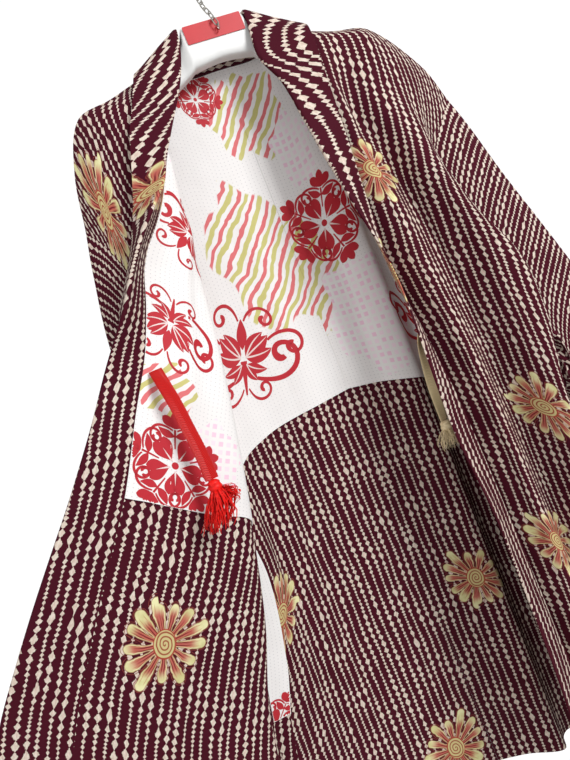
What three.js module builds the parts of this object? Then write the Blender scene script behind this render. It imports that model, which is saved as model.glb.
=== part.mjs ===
// Kimono jacket hanging open on a clothes hanger. Millimetres, +Z up, front faces -Y.
// The origin is the middle of the top link, where the chain is held.
// "right" and "left" are the wearer's; the right side of the jacket is on the -X side.
import * as THREE from 'three';

const CLOTH = 1.6;
const LINING = 1.0;
const SEAM_GAP = 0.3;
const LINING_SHIFT = CLOTH / 2 + SEAM_GAP + LINING / 2 + 0.45;
const EDGE_INSET = 1.3;
const SEAM_MARGIN = 0.86;

// Each warp line of a panel is a short table: fall = cloth length below the shoulder ridge, then x, y, z.
const FRONT_RIGHT = {
  seam: [[0, -86, 0, -95], [30, -97, -16, -118], [90, -112, -31, -172], [130, -120, -38, -208],
    [165, -136, -46, -245], [200, -154, -54, -272], [245, -182, -62, -307], [300, -202, -70, -357],
    [350, -222, -78, -401], [407, -252, -86, -451], [490, -294, -90, -523], [595, -355, -94, -608],
    [740, -433, -96, -730], [985, -530, -98, -950]],
  inner: [[0, -112, 0, -103], [30, -114, -18, -124], [90, -113, -30, -178], [130, -116, -34, -214],
    [200, -144, -50, -288], [300, -182, -64, -374], [400, -222, -80, -470], [490, -258, -84, -551],
    [600, -310, -90, -650], [712, -366, -92, -744], [985, -460, -92, -996]],
  outer: [[0, -142, 0, -112], [30, -134, -20, -132], [90, -114, -29, -185], [130, -114, -29, -221],
    [200, -134, -40, -304], [300, -160, -48, -398], [400, -192, -60, -500], [490, -222, -66, -582],
    [600, -262, -72, -684], [712, -310, -74, -784], [985, -380, -76, -1046]],
  fold: [[0, -185, 0, -123], [30, -158, -20, -146], [90, -124, -27, -194], [130, -119, -23, -230],
    [200, -130, -27, -318], [300, -145, -33, -420], [400, -166, -39, -524], [490, -187, -42, -611],
    [600, -216, -44, -716], [712, -254, -48, -822], [985, -300, -52, -1090]],
  hidden: [[0, -212, 0, -178], [30, -196, -16, -196], [90, -165, -21, -240], [130, -152, -16, -272],
    [200, -160, -9, -350], [300, -180, -8, -460], [400, -192, -14, -560], [490, -207, -20, -642],
    [600, -226, -26, -736], [712, -258, -34, -832], [985, -302, -38, -1098]],
  side: [[0, -226, 0, -242], [30, -214, -8, -264], [90, -200, -15, -307], [150, -193, -18, -364],
    [230, -196, -14, -450], [300, -206, -11, -520], [400, -212, -12, -600], [490, -219, -11, -670],
    [600, -231, -13, -752], [712, -252, -18, -842], [985, -298, -25, -1104]],
};
const BACK_RIGHT = {
  centre: [[0, -0.6, 30, -104], [230, -0.6, 36, -334], [433, -0.6, 40, -537], [640, -0.6, 43, -744],
    [985, -0.6, 47, -1087]],
  nape: [[0, -48, 27, -104], [30, -47, 30, -134], [230, -46, 37, -337], [433, -46, 41, -541],
    [985, -52, 50, -1093]],
  seam: [[0, -86, 0, -95], [30, -88, 19, -116], [90, -90, 30, -174], [230, -92, 39, -324],
    [433, -94, 47, -546], [640, -100, 51, -752], [985, -118, 54, -1096]],
  inner: [[0, -112, 0, -103], [30, -112, 20, -122], [90, -111, 31, -180], [230, -114, 38, -330],
    [433, -118, 46, -550], [640, -126, 48, -757], [985, -148, 50, -1100]],
  outer: [[0, -142, 0, -112], [30, -140, 21, -130], [90, -136, 30, -189], [230, -136, 36, -340],
    [433, -142, 38, -556], [640, -152, 36, -764], [985, -190, 38, -1105]],
  fold: [[0, -185, 0, -123], [30, -176, 20, -144], [90, -164, 27, -205], [230, -158, 30, -358],
    [433, -163, 28, -566], [640, -176, 24, -774], [985, -228, 28, -1111]],
  hidden: [[0, -212, 0, -178], [30, -206, 14, -200], [90, -192, 21, -254], [230, -180, 20, -398],
    [433, -182, 14, -584], [530, -178, 12, -680], [640, -194, 10, -784], [820, -236, 10, -962],
    [985, -260, 12, -1117]],
  side: [[0, -226, 0, -242], [30, -218, 8, -266], [90, -208, 12, -312], [150, -204, 10, -374],
    [230, -202, 4, -453], [433, -199, 2, -602], [530, -192, 0, -690], [640, -212, -2, -795],
    [712, -234, -2, -862], [820, -256, -2, -968], [985, -286, 0, -1122]],
};
const FRONT_LEFT = {
  seam: [[0, 86, 0, -95], [30, 97, -15, -114], [90, 93, -26, -174], [150, 89, -28, -240],
    [230, 87, -24, -320], [330, 92, -12, -412], [490, 110, -12, -560], [700, 116, -12, -770],
    [985, 122, -12, -1064]],
  inner: [[0, 112, 0, -104], [30, 112, -18, -122], [90, 104, -30, -182], [150, 107, -36, -246],
    [230, 114, -40, -326], [330, 126, -40, -424], [490, 138, -42, -575], [700, 146, -42, -784],
    [985, 152, -42, -1074]],
  outer: [[0, 142, 0, -113], [30, 138, -18, -130], [90, 118, -22, -190], [150, 130, -18, -254],
    [230, 148, -16, -334], [330, 163, -20, -436], [490, 170, -20, -590], [700, 178, -18, -800],
    [985, 183, -16, -1088]],
  fold: [[0, 188, 0, -124], [30, 172, -20, -142], [90, 152, -30, -204], [150, 160, -40, -270],
    [230, 178, -50, -352], [330, 198, -60, -454], [490, 198, -62, -612], [700, 206, -60, -822],
    [985, 212, -58, -1105]],
  hidden: [[0, 238, 0, -187], [30, 216, -16, -198], [90, 193, -28, -240], [150, 191, -42, -302],
    [230, 203, -56, -388], [300, 228, -66, -455], [360, 231, -70, -522], [490, 215, -72, -640],
    [700, 222, -68, -850], [985, 232, -64, -1128]],
  side: [[0, 256, 0, -237], [30, 238, -8, -253], [90, 202, -14, -298], [150, 186, -14, -352],
    [230, 181, -11, -431], [330, 192, -8, -530], [490, 197, -7, -690], [700, 203, -6, -880],
    [985, 210, -4, -1140]],
};
const BACK_LEFT = {
  centre: [[0, 0.6, 30, -104], [230, 0.6, 36, -334], [433, 0.6, 40, -537], [640, 0.6, 43, -744],
    [985, 0.6, 47, -1087]],
  nape: [[0, 48, 27, -104], [30, 47, 30, -134], [230, 44, 35, -338], [433, 42, 36, -545],
    [985, 42, 40, -1096]],
  seam: [[0, 86, 0, -95], [30, 88, 19, -116], [90, 90, 28, -174], [230, 91, 30, -330], [433, 91, 28, -560],
    [640, 89, 27, -766], [985, 88, 28, -1108]],
  inner: [[0, 112, 0, -104], [30, 110, 20, -122], [90, 108, 32, -182], [230, 106, 42, -338],
    [433, 105, 46, -566], [640, 104, 50, -771], [985, 104, 52, -1112]],
  outer: [[0, 142, 0, -113], [30, 138, 21, -131], [90, 130, 34, -192], [230, 124, 50, -346],
    [433, 122, 60, -574], [640, 122, 62, -778], [985, 124, 64, -1118]],
  fold: [[0, 188, 0, -124], [30, 176, 20, -146], [90, 162, 30, -208], [230, 146, 42, -362],
    [433, 148, 48, -586], [640, 150, 50, -790], [985, 160, 50, -1128]],
  hidden: [[0, 238, 0, -187], [30, 222, 14, -206], [90, 198, 21, -256], [230, 168, 27, -397],
    [433, 172, 28, -600], [640, 177, 26, -806], [985, 186, 26, -1138]],
  side: [[0, 256, 0, -237], [30, 240, 8, -257], [90, 208, 12, -306], [150, 192, 12, -362],
    [230, 184, 8, -437], [433, 196, 9, -624], [640, 200, 10, -822], [985, 212, 10, -1146]],
};

// The collar band is folded in half: its seam follows the front's edge, and the two tables place its pressed fold
// and free edge. Columns: fall below the shoulder, fold x y z, free edge x y z.
const COLLAR_RIGHT = [
  [0, -43, -7, -62, -104, 0, -93], [15, -47, -13, -80, -110, -13, -102],
  [30, -54, -19, -101, -116, -24, -116], [60, -69, -29, -132, -128, -33, -142],
  [90, -94, -42, -172, -142, -39, -170], [130, -116, -50, -207, -157, -44, -212],
  [165, -134, -68, -240, -168, -43, -242], [200, -158, -90, -268, -180, -44, -268],
  [245, -190, -104, -306, -199, -46, -303], [300, -222, -104, -354, -228, -54, -350],
  [350, -258, -88, -396, -236, -62, -396], [407, -294, -98, -446, -259, -76, -448],
  [490, -343, -108, -508, -298, -82, -519], [595, -405, -114, -581, -359, -86, -604], [740, -484, -116, -686, -437, -88, -725], [850, -536, -117, -792, -482, -90, -821], [985, -592, -117, -922, -533, -90, -946],
];
const COLLAR_LEFT = [
  [0, 43, -6, -62, 104, 0, -93], [15, 40, -13, -80, 106, -13, -101], [30, 36, -19, -97, 105, -22, -111],
  [60, 33, -25, -128, 102, -29, -141], [90, 44, -34, -164, 97, -35, -173],
  [150, 50, -46, -240, 92, -37, -240], [230, 58, -58, -320, 88, -33, -320],
  [275, 65, -63, -366, 88, -29, -366], [330, 71, -67, -411, 87, -26, -412],
  [407, 68, -73, -486, 95, -27, -486], [490, 63, -78, -560, 104, -26, -560],
  [560, 61, -82, -630, 110, -22, -630], [630, 67, -85, -700, 112, -22, -700],
  [700, 66, -88, -770, 114, -22, -770], [850, 63, -90, -920, 117, -22, -920], [985, 54, -90, -1062, 120, -22, -1064],
];
// Round the back of the neck. Columns: seam x y z, fold x y z, free edge x y z.
const COLLAR_BACK = [
  [-80, 13, -95, -41, 14, -59, -92, 16, -94],
  [-66, 22, -99.5, -37, 27, -58, -72, 32, -98],
  [-48, 27.5, -102.5, -28, 34, -57, -50, 39, -100],
  [-22, 30, -102.5, -14, 37, -57, -23, 43, -100],
  [0, 30.5, -102.5, 0, 38, -57, 0, 44, -100],
  [22, 30, -102.5, 14, 37, -57, 23, 43, -100],
  [48, 27.5, -102.5, 28, 34, -57, 50, 39, -100],
  [66, 22, -99.5, 37, 27, -58, 72, 32, -98],
  [80, 13, -95, 41, 14, -59, 92, 16, -94],
];

// Sleeves: the ridge runs from the shoulder seam to the cuff; the two hang tables are steps from the ridge.
// Ridge columns: distance, x, y, z. Hang columns: cloth length below the ridge, step x, step y, step z.
const SLEEVE_LENGTH = 320;
const SLEEVE_DROP = 450;
const ARMHOLE = 230;
const SLEEVE_RIGHT = {
  ridge: [[0, -226, 0, -242], [48, -237, 3, -287], [132, -253, 14, -368], [200, -256, 44, -428],
    [260, -250, 80, -475], [320, -240, 118, -520]],
  front: [[258, 10, -6, -222], [300, -12, 34, -244], [350, -14, -4, -272], [400, -4, 46, -304],
    [450, 2, 14, -350]],
  back: [[258, 6, 16, -226], [300, -8, 54, -250], [350, -16, 18, -280], [400, -8, 64, -310],
    [450, 2, 14, -350]],
};
const SLEEVE_LEFT = {
  ridge: [[0, 256, 0, -237], [40, 270, 0, -274], [119, 294, 1, -349], [199, 321, 2, -424],
    [264, 343, 3, -486], [320, 361, 4, -540]],
  front: [[300, -32, -38, -236], [350, -48, 2, -270], [400, -24, -34, -304], [450, -34, 14, -338]],
  back: [[300, -34, -16, -244], [350, -46, 24, -278], [400, -22, -12, -310], [450, -34, 14, -338]],
};

const FRONT_LINING = 490;
const BACK_LINING = 433;
const GUSSET_LINING = 712;
const HEM = 985;
const FRONT_ROWS = [0, 15, 30, 60, 90, 130, 165, 200, 230, 260, 300, 350, 407, 450, 490, 540, 595, 650, 712, 780,
  850, 920, 985];
const BACK_ROWS = [0, 15, 30, 60, 90, 130, 165, 200, 230, 300, 365, 433, 530, 640, 712, 820, 900, 985];
const GUSSET_ROWS = [242, 300, 400, 490, 600, 712, 850, 985];

function curve(rows, at) {
  const last = rows.length - 1;
  let i = 0;
  while (i < last - 1 && at > rows[i + 1][0]) i += 1;
  const a = rows[i];
  const b = rows[i + 1];
  const span = b[0] - a[0];
  const t = Math.min(1, Math.max(0, (at - a[0]) / span));
  const out = [];
  for (let k = 1; k < a.length; k += 1) {
    const before = i > 0 ? (b[k] - rows[i - 1][k]) / (b[0] - rows[i - 1][0]) : (b[k] - a[k]) / span;
    const after = i < last - 1 ? (rows[i + 2][k] - a[k]) / (rows[i + 2][0] - a[0]) : (b[k] - a[k]) / span;
    const t2 = t * t;
    const t3 = t2 * t;
    out.push((2 * t3 - 3 * t2 + 1) * a[k] + (t3 - 2 * t2 + t) * span * before
      + (3 * t2 - 2 * t3) * b[k] + (t3 - t2) * span * after);
  }
  return out;
}

function chord(points) {
  const rows = [[0, ...points[0]]];
  for (let i = 1; i < points.length; i += 1) {
    const step = Math.hypot(...points[i].map((v, k) => v - points[i - 1][k]));
    rows.push([rows[i - 1][0] + Math.max(step, 0.5), ...points[i]]);
  }
  return rows;
}

// Moves the two ends of a row in along its own first and last steps.
function drawIn(points, insetStart, insetEnd) {
  const out = points.map((p) => p.slice());
  const ends = [[0, 1, insetStart], [points.length - 1, points.length - 2, insetEnd]];
  for (const [end, next, inset] of ends) {
    const step = Math.hypot(...points[end].map((v, k) => v - points[next][k]));
    const share = Math.min(0.8, inset / step);
    out[end] = points[end].map((v, k) => v + (points[next][k] - v) * share);
  }
  return out;
}

// One row of cloth: through the named lines at one fall, each span in `parts`. A margin adds a point near the end.
function weftRow(lines, at, parts, insetStart, insetEnd, hasMargin = false) {
  const rows = chord(lines.map((line) => curve(line, at)));
  const out = [];
  for (let i = 0; i < rows.length - 1; i += 1) {
    const span = rows[i + 1][0] - rows[i][0];
    for (let k = 0; k < parts; k += 1) out.push(curve(rows, rows[i][0] + span * k / parts));
    if (hasMargin && i === rows.length - 2) out.push(curve(rows, rows[i][0] + span * SEAM_MARGIN));
  }
  out.push(rows[rows.length - 1].slice(1));
  return drawIn(out, insetStart, insetEnd);
}

function grid(rows, start, list) {
  const faces = [];
  for (let i = 0; i < rows.length - 1; i += 1) {
    for (let k = 0; k < rows[i].length - 1; k += 1) {
      const a = start + i * rows[i].length + k;
      const b = a + rows[i].length;
      faces.push([a, a + 1, b + 1], [a, b + 1, b]);
    }
  }
  list.push(...faces);
}

function weld(points) {
  const seen = new Map();
  const keep = [];
  const index = points.map((p) => {
    const key = p.map((v) => Math.round(v * 50)).join(',');
    if (!seen.has(key)) {
      seen.set(key, keep.length);
      keep.push(p);
    }
    return seen.get(key);
  });
  const renumber = (faces) => faces.map((f) => f.map((v) => index[v]))
    .filter((g) => g[0] !== g[1] && g[1] !== g[2] && g[2] !== g[0]);
  return { points: keep, renumber };
}

// A sheet of triangles becomes a wall: both faces half a thickness off the middle, and a rim round each open edge.
// Where only some triangles are kept, the normals are still those of the whole sheet.
function wall(points, faces, thickness, shift = 0, kept = faces) {
  const sheet = weld(points);
  const normals = sheet.points.map(() => new THREE.Vector3());
  for (const face of sheet.renumber(faces)) {
    const corners = face.map((v) => new THREE.Vector3(...sheet.points[v]));
    const n = corners[1].clone().sub(corners[0]).cross(corners[2].clone().sub(corners[0])).normalize();
    for (let k = 0; k < 3; k += 1) {
      const here = corners[k];
      const angle = corners[(k + 1) % 3].clone().sub(here).angleTo(corners[(k + 2) % 3].clone().sub(here));
      normals[face[k]].addScaledVector(n, angle);
    }
  }
  const used = sheet.renumber(kept);
  const order = [...new Set(used.flat())];
  const place = new Map(order.map((v, i) => [v, i]));
  const count = order.length;
  const out = [];
  for (const side of [1, -1]) {
    for (const v of order) {
      const n = normals[v].clone().normalize();
      const d = shift + side * thickness / 2;
      const p = sheet.points[v];
      out.push([p[0] + n.x * d, p[1] + n.y * d, p[2] + n.z * d]);
    }
  }
  const solid = [];
  const edges = new Map();
  for (const face of used) {
    const [a, b, c] = face.map((v) => place.get(v));
    solid.push([a, b, c], [a + count, c + count, b + count]);
    for (const [u, v] of [[a, b], [b, c], [c, a]]) edges.set(`${u},${v}`, [u, v]);
  }
  for (const [u, v] of edges.values()) {
    if (!edges.has(`${v},${u}`)) solid.push([v, u, u + count], [v, u + count, v + count]);
  }
  return { points: out, faces: solid };
}

// Body panel: hem of the front, over the shoulder, down to the hem of the back, cut in one piece.
// A lining is the same sheet moved inwards, kept down to its own two edges and short of the side seam.
function bodyPanel(front, back, frontEnd, backEnd, thickness, shift, inset) {
  const isLining = shift !== 0;
  const frontLines = [front.seam, front.inner, front.outer, front.fold, front.hidden, front.side];
  const backLines = [back.seam, back.inner, back.outer, back.fold, back.hidden, back.side];
  const napeLines = [back.centre, back.nape, back.seam];
  const row = (lines, at, start) => {
    const across = weftRow(lines, at, 2, start, EDGE_INSET, true);
    return isLining ? across.slice(0, -1) : across;
  };
  const down = FRONT_ROWS.slice().reverse();
  const shoulder = down.map((at) => row(frontLines, at, at > 0 ? inset : 0))
    .concat(BACK_ROWS.slice(1).map((at) => row(backLines, at, 0)));
  const nape = BACK_ROWS.map((at) => {
    const across = weftRow(napeLines, at, 2, isLining ? inset : 0.1, 0);
    across[across.length - 1] = row(backLines, at, 0)[0];
    return across;
  });
  const points = shoulder.flat().concat(nape.flat());
  const napeStart = shoulder.flat().length;
  const faces = [];
  grid(shoulder, 0, faces);
  grid(nape, napeStart, faces);
  const first = down.findIndex((at) => at <= frontEnd);
  const backCount = BACK_ROWS.filter((at) => at <= backEnd).length;
  const kept = [];
  grid(shoulder.slice(first, down.length + backCount - 1), first * shoulder[0].length, kept);
  grid(nape.slice(0, backCount), napeStart, kept);
  return wall(points, faces, thickness, shift, kept);
}

function gusset(front, back, side, end, thickness, shift, inset) {
  const rows = GUSSET_ROWS.filter((v) => v <= end).map((at) => {
    const a = curve(front.side, at);
    const b = curve(back.side, at);
    b[2] = a[2] * 0.5 + b[2] * 0.5;
    const bulge = side * Math.max(0, at - 520) * 0.05;
    const mid = [(a[0] + b[0]) / 2 + bulge + side * 4, (a[1] + b[1]) / 2, (a[2] + b[2]) / 2];
    const top = at === GUSSET_ROWS[0] ? 1.5 : 0;
    const line = weftRow([a, mid, b].map((p) => [[0, ...p], [1, ...p]]), 0, 2, inset, inset);
    return line.map((p) => [p[0], p[1], p[2] - top]);
  });
  const faces = [];
  grid(rows, 0, faces);
  const solid = wall(rows.flat(), faces, thickness, shift);
  return solid;
}

function collarSide(table, front) {
  return FRONT_ROWS.map((at) => [...curve(front.seam, at), ...curve(table, at)]);
}

function collar() {
  const table = collarSide(COLLAR_RIGHT, FRONT_RIGHT).reverse()
    .concat(COLLAR_BACK, collarSide(COLLAR_LEFT, FRONT_LEFT));
  const rows = table.map((r) => {
    const fold = new THREE.Vector3(r[3], r[4], r[5]);
    const free = new THREE.Vector3(r[6], r[7], r[8]);
    const seam = new THREE.Vector3(r[0], r[1], r[2]);
    seam.add(fold.clone().sub(seam).setLength(1.6));
    const apart = seam.clone().sub(free).setLength(2.1);
    const up = fold.clone().sub(seam.clone().add(free).multiplyScalar(0.5)).normalize();
    const turnIn = fold.clone().add(apart).addScaledVector(up, -2.2);
    const turnOut = fold.clone().sub(apart).addScaledVector(up, -2.2);
    const seamMid = seam.clone().lerp(turnIn, 0.5);
    const freeMid = free.clone().lerp(turnOut, 0.5);
    return [seam, seamMid, turnIn, fold, turnOut, freeMid, free].map((v) => v.toArray());
  });
  const faces = [];
  grid(rows, 0, faces);
  return wall(rows.flat(), faces, CLOTH, 0);
}

// Steps of the sleeve's cloth from its ridge: beside the armhole it keeps to the body's own side line.
function hangOf(sideLine, lower, fall) {
  const start = curve(sideLine, 0);
  const step = (at) => curve(sideLine, at).map((v, k) => v - start[k]);
  if (fall <= ARMHOLE) return step(fall);
  return curve([[ARMHOLE, ...step(ARMHOLE)], ...lower], fall);
}

// Sleeve: a flat bag. The front and back hang from one ridge and meet at the bottom and, below the cuff, at the end.
function sleeve(table, front, back, side) {
  const along = [1.2, 50, 100, 150, 200, 240, 280, SLEEVE_LENGTH];
  const down = [0, 15, 30, 60, 90, 130, 165, 200, ARMHOLE, 258, 280, 300, 325, 350, 375, 400, 425, SLEEVE_DROP];
  const loop = down.slice().reverse().map((b) => [b, 'front']).concat(down.slice(1).map((b) => [b, 'back']));
  const rows = along.map((a) => loop.map(([b, face]) => {
    const top = curve(table.ridge, a);
    const frontHang = hangOf(front.side, table.front, b);
    const backHang = hangOf(back.side, table.back, b);
    const own = face === 'front' ? frontHang : backHang;
    const closing = b > ARMHOLE ? Math.max(0, (a - 240) / 80) : 0;
    const mid = frontHang.map((v, k) => (v + backHang[k]) / 2);
    const hang = own.map((v, k) => v + (mid[k] - v) * closing * closing);
    const apart = a < 2 ? [side > 0 ? 1.3 : -0.5, 0, 0] : [0, 0, 0];
    return top.map((v, k) => v + hang[k] + apart[k]);
  }));
  const faces = [];
  grid(rows, 0, faces);
  return wall(rows.flat(), faces, CLOTH, 0);
}

function ringLoft(sections) {
  const points = sections.flat();
  const n = sections[0].length;
  const faces = [];
  for (let i = 0; i < sections.length - 1; i += 1) {
    for (let k = 0; k < n; k += 1) {
      const a = i * n + k;
      const b = i * n + (k + 1) % n;
      faces.push([a, b, b + n], [a, b + n, a + n]);
    }
  }
  for (let k = 1; k < n - 1; k += 1) faces.push([0, k + 1, k]);
  const last = (sections.length - 1) * n;
  for (let k = 1; k < n - 1; k += 1) faces.push([last, last + k, last + k + 1]);
  return { points, faces };
}

// Contoured hanger. Columns: x, top z, bottom z, front y, back y.
const HANGER = [
  [-192, -157, -164, -3, 3], [-186, -151, -166, -5, 5], [-172, -140, -165, -8, 8],
  [-150, -129, -158, -9, 9], [-112, -117, -146, -9, 9], [-84, -109.5, -134, -7, 10],
  [-64, -98.5, -124, -6, 11], [-50, -87, -117, -6, 12], [-42, -76, -113, -8, 12],
  [-38.9, -65, -111, -9, 12], [-36.9, -61, -110, -9, 12], [0, -60, -106, -9, 12],
  [36.9, -61, -110, -9, 12], [38.9, -65, -111, -9, 12], [42, -76, -113, -8, 12],
  [50, -87, -117, -6, 12], [64, -98.5, -124, -6, 11], [84, -109.5, -134, -7, 10],
  [112, -117, -146, -9, 9], [150, -129, -158, -9, 9], [172, -140, -165, -8, 8], [186, -151, -166, -5, 5], [192, -157, -164, -3, 3],
];
function hanger() {
  const sections = HANGER.map(([x, top, bottom, front, back]) => {
    const r = Math.min(7, (top - bottom) * 0.3, (back - front) * 0.3);
    const s = r * 0.3;
    return [[front, bottom + r], [front + s, bottom + s], [front + r, bottom], [back - r, bottom],
    [back - s, bottom + s],
      [back, bottom + r], [back, top - r], [back - s, top - s], [back - r, top], [front + r, top],
    [front + s, top - s],
      [front, top - r]].map(([y, z]) => [x, y, z]);
  });
  return ringLoft(sections);
}

function plate(halfWidth, halfHeight, corner, front, back, z) {
  const outline = [];
  for (const [sx, sz, turn] of [[1, -1, -90], [1, 1, 0], [-1, 1, 90], [-1, -1, 180]]) {
    for (const step of [0, 45, 90]) {
      const angle = (turn + step) * Math.PI / 180;
      const x = sx * (halfWidth - corner) + corner * Math.cos(angle);
      outline.push([x, sz * (halfHeight - corner) + corner * Math.sin(angle)]);
    }
  }
  return ringLoft([front, back].map((y) => outline.map(([x, dz]) => [x, y, z + dz]).reverse()));
}

// A closed wire link: an oval of round wire about its own middle, then turned and placed.
function link(place, towards, across, length, width, wire, segments, sides) {
  const axis = new THREE.Vector3(...towards).sub(new THREE.Vector3(...place)).normalize();
  const tilt = new THREE.Quaternion().setFromUnitVectors(new THREE.Vector3(0, 0, -1), axis);
  const points = [];
  const faces = [];
  const straight = (length - width) / 2;
  for (let i = 0; i < segments; i += 1) {
    const angle = (i + 0.5) / segments * Math.PI * 2;
    const r = width / 2 - wire / 2;
    const c = Math.cos(angle);
    const s = Math.sin(angle);
    const centre = new THREE.Vector3(c * r, 0, s * r + Math.sign(s) * straight);
    for (let k = 0; k < sides; k += 1) {
      const turn = k / sides * Math.PI * 2;
      const out = Math.cos(turn) * wire / 2;
      const p = centre.clone().add(new THREE.Vector3(c * out, Math.sin(turn) * wire / 2, s * out));
      p.applyAxisAngle(new THREE.Vector3(0, 0, 1), across).applyQuaternion(tilt);
      points.push([p.x + place[0], p.y + place[1], p.z + place[2]]);
    }
  }
  for (let i = 0; i < segments; i += 1) {
    for (let k = 0; k < sides; k += 1) {
      const a = i * sides + k;
      const b = i * sides + (k + 1) % sides;
      const c = ((i + 1) % segments) * sides + (k + 1) % sides;
      const d = ((i + 1) % segments) * sides + k;
      faces.push([a, b, c], [a, c, d]);
    }
  }
  return { points, faces };
}

// Flat braid: a rounded strip swept down a short table. Columns: x, y, z, turn in degrees about the vertical.
const TIE_RIGHT = [[-217, -83.9, -417, -10], [-215, -94, -432, -4], [-212, -98, -455, 4],
    [-210, -99, -482, 10], [-208, -99, -512, 6],
  [-208, -99, -540, 2]];
const TIE_LEFT = [[81.3, -42.8, -494, 58], [77, -44, -508, 58], [75, -45, -530, 60],
    [73, -45, -556, 62], [71, -46, -580, 60],
  [70, -46, -600, 58]];
function braid(rows, width, thickness) {
  const sections = rows.map(([x, y, z, turn]) => {
    const angle = turn * Math.PI / 180;
    const c = Math.cos(angle);
    const s = Math.sin(angle);
    const w = width / 2;
    const t = thickness / 2;
    const half = [[-w, -t * 0.4], [-w * 0.8, -t], [w * 0.8, -t], [w, -t * 0.4]];
    return half.concat(half.map(([u, v]) => [-u, -v])).map(([u, v]) => [x + u * c - v * s, y + u * s + v * c, z]);
  });
  return ringLoft(sections);
}

// Tassel: a small knot whose lower facets each grow one four-sided strand.
function tassel(place, spread, length, lean, seed) {
  const around = 8;
  const levels = 6;
  const points = [];
  const faces = [];
  const radius = 6;
  const height = 8;
  const [x, y, z] = place;
  const at = (i, k) => {
    const polar = (i + 0.35) / (levels + 0.7) * Math.PI;
    const turn = k / around * Math.PI * 2;
    return [x + radius * Math.sin(polar) * Math.cos(turn), y + radius * 0.8 * Math.sin(polar) * Math.sin(turn),
      z - height + height * Math.cos(polar)];
  };
  for (let i = 0; i <= levels; i += 1) for (let k = 0; k < around; k += 1) points.push(at(i, k));
  for (let k = 1; k < around - 1; k += 1) faces.push([0, k, k + 1]);
  const bottom = levels * around;
  for (let k = 1; k < around - 1; k += 1) faces.push([bottom, bottom + k + 1, bottom + k]);
  let state = seed;
  const random = () => {
    state = (state * 16807) % 2147483647;
    return state / 2147483647;
  };
  for (let i = 0; i < levels; i += 1) {
    for (let k = 0; k < around; k += 1) {
      const next = (k + 1) % around;
      const quad = [i * around + k, (i + 1) * around + k, (i + 1) * around + next, i * around + next];
      if (i < 3) {
        faces.push([quad[0], quad[1], quad[2]], [quad[0], quad[2], quad[3]]);
        continue;
      }
      const mid = [0, 1, 2].map((c) => quad.reduce((sum, v) => sum + points[v][c], 0) / 4);
      const out = [mid[0] - x, mid[1] - y];
      const reach = length * (0.75 + 0.4 * random());
      const level = (levels - i) / 3;
      const sway = [random() - 0.5, random() - 0.5];
      let previous = quad;
      const path = [[0, 0.72, 0], [0.3, 0.6, 0.45], [1, 0.42, 1]];
      for (const [t, size, flare] of path) {
        const base = points.length;
        for (const v of quad) {
          const p = points[v];
          const shrink = size * (t > 0 ? 0.75 : 1);
          const wide = spread * flare * level;
          points.push([
            mid[0] + (p[0] - mid[0]) * shrink + out[0] * wide + sway[0] * 3 * t + lean[0] * t * t,
            mid[1] + (p[1] - mid[1]) * shrink + out[1] * wide + sway[1] * 3 * t + lean[1] * t * t,
            mid[2] + (p[2] - mid[2]) * shrink - reach * t,
          ]);
        }
        for (let e = 0; e < 4; e += 1) {
          const a = previous[e];
          const b = previous[(e + 1) % 4];
          faces.push([a, b, base + (e + 1) % 4], [a, base + (e + 1) % 4, base + e]);
        }
        previous = [base, base + 1, base + 2, base + 3];
      }
      faces.push([previous[0], previous[1], previous[2]], [previous[0], previous[2], previous[3]]);
    }
  }
  return { points, faces };
}

const part = new THREE.Group();
part.name = 'kimono_jacket_on_hanger';

function add(name, solid, material) {
  const merged = { points: solid.points, faces: solid.faces };
  const geometry = new THREE.BufferGeometry();
  let volume = 0;
  for (const [a, b, c] of merged.faces) {
    const pa = new THREE.Vector3(...merged.points[a]);
    const pb = new THREE.Vector3(...merged.points[b]);
    const pc = new THREE.Vector3(...merged.points[c]);
    volume += pa.dot(pb.cross(pc)) / 6;
  }
  const faces = volume < 0 ? merged.faces.map(([a, b, c]) => [a, c, b]) : merged.faces;
  geometry.setAttribute('position', new THREE.Float32BufferAttribute(merged.points.flat(), 3));
  geometry.setIndex(faces.flat());
  geometry.computeVertexNormals();
  const mesh = new THREE.Mesh(geometry, material);
  mesh.name = name;
  part.add(mesh);
}

const maroon = new THREE.MeshStandardMaterial({ color: 0x45192a, roughness: 0.8 });
const printed = new THREE.MeshStandardMaterial({ color: 0xf1e9e2, roughness: 0.8 });
const scarlet = new THREE.MeshStandardMaterial({ color: 0xd6201c, roughness: 0.6 });
const cream = new THREE.MeshStandardMaterial({ color: 0xd9cba0, roughness: 0.6 });
const white = new THREE.MeshStandardMaterial({ color: 0xf4f4f2, roughness: 0.4 });
const redPlate = new THREE.MeshStandardMaterial({ color: 0xd02a2f, roughness: 0.5 });
const metal = new THREE.MeshStandardMaterial({ color: 0x9a9488, roughness: 0.3, metalness: 1 });

add('body_right', bodyPanel(FRONT_RIGHT, BACK_RIGHT, HEM, HEM, CLOTH, 0, EDGE_INSET), maroon);
add('body_left', bodyPanel(FRONT_LEFT, BACK_LEFT, HEM, HEM, CLOTH, 0, EDGE_INSET), maroon);
add('collar', collar(), maroon);
add('sleeve_right', sleeve(SLEEVE_RIGHT, FRONT_RIGHT, BACK_RIGHT, -1), maroon);
add('sleeve_left', sleeve(SLEEVE_LEFT, FRONT_LEFT, BACK_LEFT, 1), maroon);
add('gusset_right', gusset(FRONT_RIGHT, BACK_RIGHT, -1, HEM, CLOTH, 0, 2.2), maroon);
add('gusset_left', gusset(FRONT_LEFT, BACK_LEFT, 1, HEM, CLOTH, 0, 1.7), maroon);
add('lining_right', bodyPanel(FRONT_RIGHT, BACK_RIGHT, FRONT_LINING, BACK_LINING, LINING, LINING_SHIFT, 4), printed);
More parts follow.
